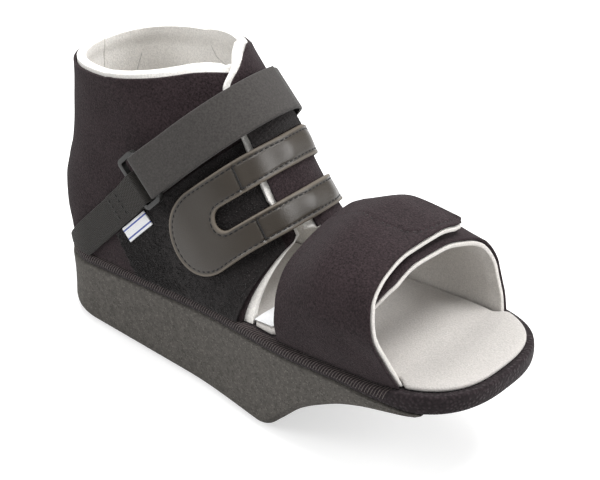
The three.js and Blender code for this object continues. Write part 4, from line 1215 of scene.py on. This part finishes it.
def footbed():
    under = lambda x, s: platform_top(x) + GAP
    dents = lambda x, s: INSOLE_DENT * np.sin(x * 0.15 + 2.6 * (1 - s) ** 2) * smooth(s * 3)
    crown = lambda x, s: under(x, s) + INSOLE_THICKNESS + INSOLE_CROWN * smooth(s * 2.5) + dents(x, s)

    def profile(station):
        inset = INSOLE_INSET(station)[0] + INSOLE_ROUND
        rows = [(inset, share, under) for share in (1.0, 0.5, 0.0)]
        for angle in np.linspace(0, math.pi, 6):
            rise = INSOLE_THICKNESS * (1 - math.cos(angle)) / 2
            height = lambda x, s, rise=rise: under(x, s) + rise
            rows.append((inset - INSOLE_ROUND * np.sin(angle), 0.0, height))
        rows += [(inset, share, crown) for share in np.linspace(0.06, 1.0, 12)]
        return rows
    rows = len(profile(np.zeros(1))) - 1
    bm = slab_mesh(420, rows, slab_point(SHOE_LENGTH, profile, PLATFORM_SPINE))
    # painted shade: the footbed's colour is the lining fleece made darker
    fleece = fleece_material("footbed_fleece_nap", colours().footbed)
    bed = add_piece("footbed_pad", bm, fleece, "footbed_fleece", "insole")


def footbed_label():
    """Bare woven label across the footbed's near edge."""
    def point_at(along, across, level):
        station = LABEL_STATION + LABEL_LENGTH * along
        sideways = LABEL_SIDE + LABEL_WIDTH * across
        stand = LABEL_STAND + LABEL_THICKNESS * (1 - level) + LABEL_WAVE * np.sin(across * 7 + along * 2)
        height = platform_top(station) + GAP + INSOLE_THICKNESS + stand
        return np.stack([station, sideways, height], -1)
    bm = wall_mesh(16, 34, point_at, run=(LABEL_LENGTH, LABEL_WIDTH), edge=0.15)
    label = add_piece("footbed_label", bm, label_material("bare_label", False), "label_cloth", "insole_label")


def bootee_walls():
    for side, name in ((-1, "near"), (1, "far")):
        def cover_at(around, up, level):
            crowd = 1 - (1 - up) ** 1.25
            return quarter_point(side, around, crowd, COVER * level, 0.0, -COVER_SETBACK)

        def lining_at(around, up, level):
            crowd = 1 - (1 - up) ** 1.5
            roll = RIM_ROLL * smooth((crowd - RIM_ROLL_START) / (1 - RIM_ROLL_START))
            depth = lerp(COVER + LAYER_GAP, WALL + roll, level)
            return quarter_point(side, around, crowd, depth, LINING_RISE, LINING_OVERHANG)
        columns = 150 if side < 0 else 180
        cover = add_piece(name + "_cover", wall_mesh(columns, 64, cover_at, edge=0.6, edge_segments=3),
                          velour_material(), "cover_cloth", name + "_quarter")
        fleece = fleece_material("lining_fleece_nap", colours().fleece)
        lining = add_piece(name + "_fleece", wall_mesh(columns, 64, lining_at, edge=1.3, edge_segments=4),
                           fleece, "lining_fleece", name + "_lining")


def lining_seams():
    """Two sewn seams of the lining inside the collar's far side, their thread darkened as painted shade."""
    runs = []
    for turn_rows in (LINING_SEAM_HEEL, LINING_SEAM_FRONT):
        height = np.linspace(turn_rows.key[0], turn_rows.key[-1], 40)
        turn = turn_rows(height)[0]
        runs.append(bootee_offset(turn, height, flap_lift(turn) - WALL - 0.05))
    # real seam lines; their darkness is painted shade of the creases: the fleece colour at 0.6
    seam = thread_material("seam_thread", shade(colours().fleece, 0.6)[:3])
    add_threads("lining_seams", runs, sizes().thread, seam, "lining_fleece")


def heel_stitching():
    """Two rows of stitches beside the heel seam."""
    runs = []
    for side in (-1, 1):
        up = np.linspace(0.03, 0.97, 160)
        around = np.full(up.shape, 0.018)
        face = quarter_point(side, around, up, 0.0)
        runs += stitch_runs(face, quarter_point(side, around, up, -1.0) - face)
    add_threads("heel_stitching", runs, sizes().thread, dark_thread(), "cover_cloth")


def panel_point(around, up, lift):
    turn, height = panel_place(around, up)
    return bootee_offset(turn, height, PANEL_STAND + lift)


def loop_panel():
    point_at = lambda around, up, level: panel_point(around, up, PANEL_THICKNESS * (1 - level))
    bm = wall_mesh(90, 70, point_at, edge=0.35)
    panel = add_piece("pile_panel", bm, pile_material(), "loop_pile", "loop_panel")


def pile_loops():
    """Small loops of uneven height that stand out of the panel."""
    chance = np.random.default_rng(PILE_SEED)
    count = PILE_LOOPS
    around, up = chance.uniform(0.01, 0.99, count), chance.uniform(0.01, 0.99, count)
    height = sizes().pile / MM * chance.uniform(0.5, 1.3, count)
    base = panel_point(around, up, PANEL_THICKNESS)
    way = unit(panel_point(around, up, PANEL_THICKNESS + 1) - base)
    side = unit(np.cross(way, unit(chance.normal(size=(count, 3)))))
    reach = chance.uniform(0.4, 1.0, count)
    runs = []
    for b, w, s, h, r in zip(base, way, side, height, reach):
        rising, over = b + w * h * 0.8 + s * r * 0.25, b + w * h + s * r * 0.6
        runs.append([b - w * 0.2, rising, over, b - w * 0.1 + s * r])
    pile = thread_material("pile_thread", colours().pile)
    add_threads("pile_loops", runs, PILE_THREAD * MM, pile, "loop_pile", resolution=0)


def panel_stitching():
    """Stitches along the panel's sewn heel edge."""
    up = np.linspace(0.02, 0.86, 160)
    around = np.full(up.shape, 0.02)
    face = panel_point(around, up, PANEL_THICKNESS)
    runs = stitch_runs(face, panel_point(around, up, PANEL_THICKNESS + 1) - face)
    add_threads("panel_stitching", runs, sizes().thread, dark_thread(), "loop_pile")


def round_corner(along, girth):
    """Shares of a toe flap with the front corner of its free end rounded off."""
    shorter = girth - 0.022 * smooth((along - 0.9) / 0.1) ** 2 * smooth((girth - 0.85) / 0.15)
    back = along - 0.03 * smooth((girth - 0.95) / 0.05) ** 2 * smooth((along - 0.85) / 0.15)
    return back, shorter


def patch_distance(along, girth):
    """Distance from the sewn line of the near flap's hook patch, and whether a place is inside it."""
    line = resample(np.array(PATCH_LINE) * PATCH_SCALE, 120)
    place = np.stack([along, girth], -1) * PATCH_SCALE
    away = np.full(np.shape(along), 1e9)
    for point in line:
        away = np.minimum(away, np.linalg.norm(place - point, axis=-1))
    foot = np.interp(along, [p[0] for p in PATCH_LINE[:6]], [p[1] for p in PATCH_LINE[:6]])
    return away, (girth > foot) & (along < 0.955)


def toe_cover_point(rows, side, along, girth, depth):
    along, girth = round_corner(along, girth)
    if side < 0:
        away, inside = patch_distance(along, girth)
        ridge = 0.3 * bump(away, 0, 0.9) - 0.25 * inside * smooth(away / 2)
        depth = depth + np.where(depth < COVER / 2, ridge, 0)
    return toe_flap_offset(rows, side, along, girth, depth)


def toe_band():
    for rows, side, name in ((NEAR_FLAP, -1, "near"), (FAR_FLAP, 1, "far")):
        def cover_at(along, girth, level):
            return toe_cover_point(rows, side, along, girth, COVER * level)

        def lining_at(along, girth, level):
            inner = WALL - BOUND_THINNER * smooth((along - 0.9) / 0.1)
            back, shorter = round_corner(along, girth)
            depth = lerp(COVER + LAYER_GAP, inner, level)
            return toe_flap_offset(rows, side, back * BOUND_REACH, shorter, depth)
        cover = add_piece(name + "_toe_cover", wall_mesh(72, 120, cover_at, edge=0.6, edge_segments=3),
                          velour_material(), "cover_cloth", name + "_toe_flap")
        # painted shade: the toe band's fleece is the lining fleece made darker
        fleece = fleece_material("toe_fleece_nap", colours().toe_lining)
        lining = add_piece(name + "_toe_fleece", wall_mesh(60, 96, lining_at, edge=0.9, edge_segments=3),
                           fleece, "lining_fleece", name + "_toe_lining")


def patch_stitching():
    """Stitches of the hook patch on the near flap's free end."""
    line = resample(np.array(PATCH_LINE) * PATCH_SCALE, 240) / PATCH_SCALE
    face = toe_cover_point(NEAR_FLAP, -1, line[:, 0], line[:, 1], np.zeros(len(line)))
    way = toe_cover_point(NEAR_FLAP, -1, line[:, 0], line[:, 1], np.full(len(line), -1.0)) - face
    add_threads("patch_stitching", stitch_runs(face, way), sizes().thread, dark_thread(), "cover_cloth")


def strip_mesh(lines, across, thickness, edge):
    """A flat strip through centre lines in the straps' frame, one for each place across it."""
    grid = np.array(lines)
    ahead = np.concatenate([grid[:, 1:], grid[:, -1:]], axis=1)
    behind = np.concatenate([grid[:, :1], grid[:, :-1]], axis=1)
    along_way = unit(ahead - behind)
    out = np.stack([-along_way[..., 1], along_way[..., 0]], -1)
    columns, rows = grid.shape[1] - 1, grid.shape[0] - 1
    length = float(np.linalg.norm(np.diff(grid[0], axis=0), axis=1).sum())

    def point_at(along, place, level):
        i = np.rint(along * columns).astype(int)
        j = np.rint(place * rows).astype(int)
        flat = grid[j, i] + out[j, i] * ((0.5 - level) * thickness)[:, None]
        return strap_to_shoe(flat[:, 0], flat[:, 1], np.asarray(across)[j])
    return wall_mesh(columns, rows, point_at, run=(length, float(across[-1] - across[0])), edge=edge)


def ankle_strap():
    line = ankle_strap_line()
    across = STRAP_ACROSS + STRAP_WIDTH * np.linspace(-0.5, 0.5, 15)
    bm = strip_mesh([line] * len(across), across, STRAP_THICKNESS, 0.5)
    woven = strip_material("woven_strap", colours().strap, 0.75, 0.7, 0.7, 0.12)
    add_piece("ankle_strap_woven", bm, woven, "strap_weave", "ankle_strap")


def anchor_webbing():
    across = WEBBING_ACROSS + WEBBING_WIDTH * np.linspace(-0.5, 0.5, 11)
    bm = strip_mesh([webbing_line(place) for place in across], across, WEBBING_THICKNESS, 0.4)
    woven = strip_material("webbing_rib", colours().webbing, 0.85, 1.6, 1.0, 0.3)
    add_piece("anchor_webbing_ribbed", bm, woven, "webbing", "anchor_webbing")


def webbing_stitching():
    """Two sewn lines across the webbing's folded end."""
    runs = []
    across = WEBBING_ACROSS + (WEBBING_WIDTH - 2.0) * np.linspace(-0.5, 0.5, 30)
    for back in (-2, -6):
        ends = np.array([webbing_line(place)[back] for place in across])
        face = strap_to_shoe(ends[:, 0] - WEBBING_THICKNESS / 2, ends[:, 1], across)
        runs += stitch_runs(face, np.tile([0.0, -1.0, 0.0], (len(face), 1)))
    add_threads("webbing_stitching", runs, 1.6 * sizes().thread, dark_thread(), "webbing")


def strap_ring():
    """The ring's solid with its edges rounded."""
    bm = bmesh.new()
    bm.from_mesh(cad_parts["strap_ring"].data)
    bmesh.ops.remove_doubles(bm, verts=bm.verts[:], dist=0.01 * MM)
    bmesh.ops.dissolve_limit(bm, angle_limit=math.radians(2), verts=bm.verts[:], edges=bm.edges[:])
    sharp = [e for e in bm.edges if len(e.link_faces) == 2 and e.calc_face_angle(0.0) > math.radians(50)]
    bmesh.ops.bevel(bm, geom=sharp, offset=0.7 * MM, offset_type="OFFSET", segments=3, profile=0.5,
                    affect="EDGES", material=-1, clamp_overlap=True)
    add_piece("strap_ring_moulded", bm, plastic_material(), "ring_plastic", "strap_ring")


def side_tag():
    def point_at(along, across, level):
        up = TAG_UP + TAG_LENGTH * (along - 0.5)
        place = TAG_ACROSS + TAG_WIDTH * (across - 0.5)
        sideways = TAG_SIDE - TAG_THICKNESS * (0.5 - level) - 0.25 * np.sin(along * 5.0) * (across - 0.3)
        return strap_to_shoe(sideways, up, place)
    bm = wall_mesh(36, 14, point_at, run=(TAG_LENGTH, TAG_WIDTH), edge=0.2)
    add_piece("side_tag_woven", bm, label_material("striped_label", True), "label_cloth", "side_tag")


def fork_relief(edge_distance, along):
    """Height of the leather's relief: a rolled edge, the stitched groove inside it and the arms' seams."""
    roll = 0.3 * bump(edge_distance, 1.0, 0.9)
    groove = -0.35 * bump(edge_distance, FORK_STITCH_INSET, 0.5)
    waves = 0.3 * np.sin(along * 0.36 + 0.9) * smooth((along - FORK_SEAM) / 10)
    seam = 0.3 * smooth((FORK_SEAM - along) / 0.8) - 0.35 * bump(along, FORK_SEAM + 0.5, 0.6)
    return roll + groove + seam + waves


def fork_crown(along, outwards):
    """How far the middle of each arm stands off where it bends over the ridge."""
    return FORK_CROWN * bump(along, 12, 18) * (4 * outwards * (1 - outwards)) ** 0.8


def fork_strap(girth):
    def flat_at(around, outwards):
        flat, width = fork_flat(around, outwards)
        edge_distance = np.minimum(outwards, 1 - outwards) * width
        end_distance = FORK_FAR_END - flat[..., 0]
        return flat, np.minimum(edge_distance, end_distance)

    def point_at(around, outwards, level):
        flat, edge_distance = flat_at(around, outwards)
        lift = np.where(level < 0.5, FORK_THICKNESS + fork_relief(edge_distance, flat[:, 0]), 0.0)
        return girth(flat[:, 0], flat[:, 1], lift + fork_crown(flat[:, 0], outwards))
    bm = wall_mesh(420, 26, point_at, edge=0.5, edge_segments=3)
    layer = bm.verts.layers.float.new("edge")
    along, across = bm.verts.layers.float["along"], bm.verts.layers.float["across"]
    places = np.array([(vert[along], vert[across]) for vert in bm.verts]) / 100
    distance = flat_at(places[:, 0], places[:, 1])[1]
    for vert, mark in zip(bm.verts, 1 - smooth((distance - 1.0) / 0.6)):
        vert[layer] = float(mark)
    add_piece("fork_strap_leather", bm, leather_material(), "fork_leather", "fork_strap")


def fork_stitching(girth):
    """Stitches inside both edges of the forked strap, and along the seams of its arms."""
    runs, seams = [], []
    around = np.linspace(0.005, 0.995, 900)
    inner_share = FORK_STITCH_INSET / fork_flat(around, np.zeros(around.shape))[1]
    for share in (inner_share, 1 - inner_share):
        flat = fork_flat(around, share)[0]
        relief = fork_relief(np.full(len(flat), FORK_STITCH_INSET), flat[:, 0])
        top = FORK_THICKNESS + relief + fork_crown(flat[:, 0], share)
        face = girth(flat[:, 0], flat[:, 1], top)
        runs += stitch_runs(face, girth(flat[:, 0], flat[:, 1], top + 1) - face, sink=0.2)
    for low, high in ((FORK_TOP + 2, FORK_SLOT_TOP - 2), (FORK_SLOT_BOTTOM + 2, FORK_BOTTOM - 2)):
        across = np.linspace(low, high, 60)
        along = np.full(across.shape, FORK_SEAM + 0.5)
        seams.append(girth(along, across, np.full(across.shape, FORK_THICKNESS + 0.05)))
    add_threads("fork_stitching", runs, 1.9 * sizes().thread, dark_thread(), "fork_leather")
    add_threads("fork_seams", seams, FORK_SEAM_THREAD * MM, dark_thread(), "fork_leather")


def flap_pile(girth):
    """Soft pile that fills the gap under the ankle strap where it crosses the ridge."""
    def point_at(along, across, level):
        length = lerp(-13.5, 44.0, along)
        place = lerp(-6.5, FORK_TOP - 0.4, across)
        swell = PILE_SWELL * bump(length, 4, 13) * smooth((FORK_TOP + 1 - place) / 7)
        grain = 0.25 * np.sin(length * 1.7 + place) * np.sin(place * 2.3 - length * 0.6)
        outer = 0.5 + swell + grain
        return girth(length, place, np.where(level < 0.5, outer, -0.2))
    bm = wall_mesh(90, 20, point_at, edge=0.3)
    pile = add_piece("flap_pile", bm, pile_material(), "loop_pile")


class ShoePiece:
    """What the operators of the shoe's pieces have in common."""
    bl_options = {"REGISTER", "UNDO"}
    steps = ()

    def execute(self, context):
        for step in self.steps:
            step()
        return {"FINISHED"}


class SHOE_OT_sole(ShoePiece, bpy.types.Operator):
    """Build the foam sole"""
    bl_idname = "shoe.sole"
    bl_label = "Sole"
    steps = (shoe_sole,)


class SHOE_OT_platform(ShoePiece, bpy.types.Operator):
    """Build the wrapped platform and the stitches round its rim"""
    bl_idname = "shoe.platform"
    bl_label = "Platform"
    steps = (shoe_platform, rim_stitching)


class SHOE_OT_footbed(ShoePiece, bpy.types.Operator):
    """Build the fleece footbed and its label"""
    bl_idname = "shoe.footbed"
    bl_label = "Footbed"
    steps = (footbed, footbed_label)


class SHOE_OT_bootee(ShoePiece, bpy.types.Operator):
    """Build the covers and linings of the bootee"""
    bl_idname = "shoe.bootee"
    bl_label = "Bootee"
    steps = (bootee_walls, lining_seams, heel_stitching)


class SHOE_OT_loop_panel(ShoePiece, bpy.types.Operator):
    """Build the loop-pile panel"""
    bl_idname = "shoe.loop_panel"
    bl_label = "Loop Panel"
    steps = (loop_panel, pile_loops, panel_stitching)


class SHOE_OT_toe_band(ShoePiece, bpy.types.Operator):
    """Build the two flaps of the toe band"""
    bl_idname = "shoe.toe_band"
    bl_label = "Toe Band"
    steps = (toe_band, patch_stitching)


class SHOE_OT_ankle_strap(ShoePiece, bpy.types.Operator):
    """Build the ankle strap, its ring, the anchor webbing and the side tag"""
    bl_idname = "shoe.ankle_strap"
    bl_label = "Ankle Strap"
    steps = (ankle_strap, strap_ring, anchor_webbing, webbing_stitching, side_tag)


class SHOE_OT_fork_strap(ShoePiece, bpy.types.Operator):
    """Build the forked instep strap, its stitching and the pile above it"""
    bl_idname = "shoe.fork_strap"
    bl_label = "Forked Strap"

    def execute(self, context):
        girth = GirthTable()
        fork_strap(girth)
        fork_stitching(girth)
        flap_pile(girth)
        return {"FINISHED"}


def add_floor():
    material, tree, shader = new_material("studio_floor", 0.9, specular=0.1)
    rgb = colours().floor
    cloud = span_node(tree, noise_node(tree, 2.0, 2.0), 0.3, 0.7)
    tree.links.new(mix_node(tree, cloud, shade(rgb, 0.99), shade(rgb, 1.0)), shader.inputs["Base Color"])
    seen = make(tree, "ShaderNodeLightPath").outputs["Is Camera Ray"]
    tree.links.new(mix_node(tree, seen, shade(rgb, 0.1), shade(rgb, 0.85)), shader.inputs["Emission Color"])
    shader.inputs["Emission Strength"].default_value = 1.0
    bm = bmesh.new()
    bmesh.ops.create_grid(bm, x_segments=2, y_segments=2, size=6.0)
    mesh = bpy.data.meshes.new("studio_floor")
    bm.to_mesh(mesh)
    bm.free()
    mesh.materials.append(material)
    floor = bpy.data.objects.new("studio_floor", mesh)
    bpy.context.scene.collection.objects.link(floor)


def add_light(name, place, aim, size, power):
    data = bpy.data.lights.new(name, "AREA")
    data.shape = "DISK"
    data.size = size
    data.energy = power
    light = bpy.data.objects.new(name, data)
    light.location = place
    light.rotation_euler = (Vector(aim) - Vector(place)).to_track_quat("-Z", "Y").to_euler()
    bpy.context.scene.collection.objects.link(light)


def add_camera():
    yaw, pitch = math.radians(CAMERA_YAW), math.radians(CAMERA_PITCH)
    right = Vector((math.cos(yaw), math.sin(yaw), 0))
    ahead = Vector((-math.sin(yaw) * math.cos(pitch), math.cos(yaw) * math.cos(pitch), -math.sin(pitch)))
    up = right.cross(ahead)
    data = bpy.data.cameras.new("photo_camera")
    data.lens = CAMERA_LENS
    data.shift_x, data.shift_y = CAMERA_SHIFT
    data.clip_start, data.clip_end = 0.01, 50.0
    camera = bpy.data.objects.new("photo_camera", data)
    turned = Matrix((right, up, -ahead)).transposed().to_4x4()
    turned.translation = (np.array(CAMERA_PLACE) + SHOE_ORIGIN) * MM
    camera.matrix_world = turned
    bpy.context.scene.collection.objects.link(camera)
    bpy.context.scene.camera = camera


class SHOE_OT_stage(ShoePiece, bpy.types.Operator):
    """Build the floor, the studio light and the camera"""
    bl_idname = "shoe.stage"
    bl_label = "Stage"

    def execute(self, context):
        add_floor()
        add_light("key_light", (0.3, 0.1, 1.4), (0, 0, 0.06), 0.8, 18.0)
        add_light("front_light", (0.98, 0.65, 0.6), (0, 0, 0.1), 0.7, 10.0)
        add_light("back_light", (-0.7, 0.5, 1.0), (0, 0, 0.06), 0.8, 7.0)
        add_light("side_light", (-0.8, -0.9, 0.9), (0, 0, 0.06), 0.8, 9.5)
        world = bpy.data.worlds.new("studio_world")
        world.use_nodes = True
        world.node_tree.nodes["Background"].inputs["Color"].default_value = (1, 1, 1, 1)
        world.node_tree.nodes["Background"].inputs["Strength"].default_value = 0.55
        context.scene.world = world
        context.scene.view_settings.view_transform = "Standard"
        add_camera()
        return {"FINISHED"}


PIECES = (SHOE_OT_sole, SHOE_OT_platform, SHOE_OT_footbed, SHOE_OT_bootee, SHOE_OT_loop_panel,
          SHOE_OT_toe_band, SHOE_OT_ankle_strap, SHOE_OT_fork_strap, SHOE_OT_stage)


class SHOE_PT_panel(bpy.types.Panel):
    """Lists the shoe's pieces, colours and sizes"""
    bl_idname = "SHOE_PT_panel"
    bl_label = "Offloading Shoe"
    bl_space_type = "VIEW_3D"
    bl_region_type = "UI"
    bl_category = "Shoe"

    def draw(self, context):
        for piece in PIECES:
            self.layout.operator(piece.bl_idname)
        for group in (context.scene.shoe_colours, context.scene.shoe_sizes):
            for name in group.bl_rna.properties.keys():
                if name not in ("rna_type", "name"):
                    self.layout.prop(group, name)


CLASSES = (ShoeColours, ShoeSizes, *PIECES, SHOE_PT_panel)


def register():
    for cls in CLASSES:
        bpy.utils.register_class(cls)
    bpy.types.Scene.shoe_colours = PointerProperty(type=ShoeColours)
    bpy.types.Scene.shoe_sizes = PointerProperty(type=ShoeSizes)


def unregister():
    del bpy.types.Scene.shoe_sizes
    del bpy.types.Scene.shoe_colours
    for cls in reversed(CLASSES):
        bpy.utils.unregister_class(cls)


def main():
    register()
    bpy.ops.shoe.sole()
    bpy.ops.shoe.platform()
    bpy.ops.shoe.footbed()
    bpy.ops.shoe.bootee()
    bpy.ops.shoe.loop_panel()
    bpy.ops.shoe.toe_band()
    bpy.ops.shoe.ankle_strap()
    bpy.ops.shoe.fork_strap()
    bpy.ops.shoe.stage()


if __name__ == "__main__":
    main()
